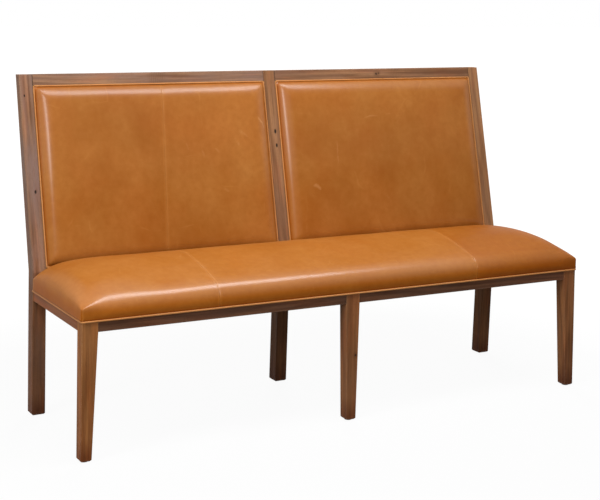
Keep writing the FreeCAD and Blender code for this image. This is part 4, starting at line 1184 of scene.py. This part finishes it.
# stage: pale floor, white behind, soft lamps
shot = {"eye": (-2.157254, -3.768858, 1.337472), "yaw": 0.473439, "dip": 0.096721, "roll": 0.010314,
        "focal": 1291.293, "centre": (247.519, 128.740), "picture": (600, 500), "sensor": 36}
lamps = {
    "overhead": {"place": (0.08, -0.80, 2.60), "aim": (0.0, -0.2, 0.5), "size": (2.3, 0.85), "power": 46},
    "key": {"place": (-2.5, -0.9, 2.7), "aim": (-0.7, 0.0, 0.5), "size": (0.9, 1.2), "power": 24},
    "front": {"place": (-1.85, -3.7, 2.4), "aim": (-0.3, 0.1, 0.65), "size": (0.5, 1.0), "power": 36},
    "side": {"place": (-3.4, -1.2, 1.7), "aim": (-0.85, -0.05, 0.4), "size": (0.7, 0.9), "power": 24},
    "rear": {"place": (1.7, 3.4, 2.1), "aim": (0.1, 0.2, 0.6), "size": (1.6, 1.0), "power": 85},
    "right": {"place": (4.0, 0.3, 1.6), "aim": (0.9, -0.1, 0.5), "size": (1.0, 1.0), "power": 14},
}
glinting = ("overhead", "front")  # lamps that show in reflections
# the floor's tone and glow, how white it looks near the bench and further away (distance, share), and
# how much light the white behind gives
white = {"floor": (0.26, 0.26, 0.26, 1), "glow": 1.1, "near": (1.2, 0.86), "far": (3.2, 1.0), "ambient": 0.14}


# 1 for rays that show the stage, straight or in a reflection
def seenRays(tree):
    paths = [tree.add("LightPath", output=f"Is {kind} Ray") for kind in ("Camera", "Glossy", "Transmission")]
    return paths[0].maths("MAXIMUM", paths[1]).maths("MAXIMUM", paths[2])


def makeFloor():
    mesh = bpy.data.meshes.new("floor")
    with editing(mesh) as work:
        bmesh.ops.create_grid(work, x_segments=8, y_segments=8, size=60.0)
    floor = addObject("floor", mesh)
    material, tree, shader = newMaterial("paleFloor")
    tree.feed(shader, {"Base Color": white["floor"], "Roughness": 0.9, "Specular IOR Level": 0.1})
    glow = tree.add("Emission", {"Color": (1, 1, 1, 1), "Strength": white["glow"]})
    (near, nearShare), (far, farShare) = white["near"], white["far"]
    away = tree.here().vector("LENGTH", output="Value").spread(near, far, nearShare, farShare)
    plain = Value(tree, tree.nodeTree.nodes["Principled BSDF"].outputs[0])
    mixed = tree.add("MixShader", {0: seenRays(tree) * away, 1: plain, 2: glow})
    tree.feed(tree.nodeTree.nodes["Material Output"].inputs, {"Surface": mixed})
    mesh.materials.append(material)


def makeWorld():
    world = bpy.data.worlds.new("studio")
    bpy.context.scene.world = world
    world.use_nodes = True
    world.node_tree.nodes.clear()
    tree = Tree(world.node_tree)
    strength = seenRays(tree).spread(0.0, 1.0, white["ambient"], 1.0)
    backdrop = tree.add("Background", {"Color": (1, 1, 1, 1), "Strength": strength})
    tree.feed(world.node_tree.nodes.new("ShaderNodeOutputWorld").inputs, {"Surface": backdrop})


def makeLamps():
    for name, lamp in lamps.items():
        data = bpy.data.lights.new(name, "AREA")
        data.shape = "RECTANGLE"
        data.size, data.size_y = lamp["size"]
        data.energy = lamp["power"]
        light = addObject(name, data)
        light.location = lamp["place"]
        way = Vector(lamp["aim"]) - Vector(lamp["place"])
        light.rotation_euler = way.to_track_quat("-Z", "Y").to_euler()
        light.visible_glossy = name in glinting


def makeCamera():
    yaw, dip, roll = shot["yaw"], shot["dip"], shot["roll"]
    ahead = Vector((math.sin(yaw) * math.cos(dip), math.cos(yaw) * math.cos(dip), -math.sin(dip)))
    level = Vector((math.cos(yaw), -math.sin(yaw), 0))
    up = level.cross(ahead)
    right = level * math.cos(roll) + up * math.sin(roll)
    up = up * math.cos(roll) - level * math.sin(roll)
    data = bpy.data.cameras.new("photoCamera")
    camera = addObject("photoCamera", data)
    place = Matrix((right, up, -ahead)).transposed().to_4x4()
    place.translation = Vector(shot["eye"])
    camera.matrix_world = place
    wide, tall = shot["picture"]
    data.sensor_width = shot["sensor"]
    data.lens = shot["focal"] * shot["sensor"] / wide
    data.shift_x = (wide / 2 - shot["centre"][0]) / wide
    data.shift_y = (shot["centre"][1] - tall / 2) / wide
    bpy.context.scene.camera = camera


makeFloor()
makeWorld()
makeLamps()
makeCamera()
bpy.context.scene.view_settings.view_transform = "Standard"
print("stage set")
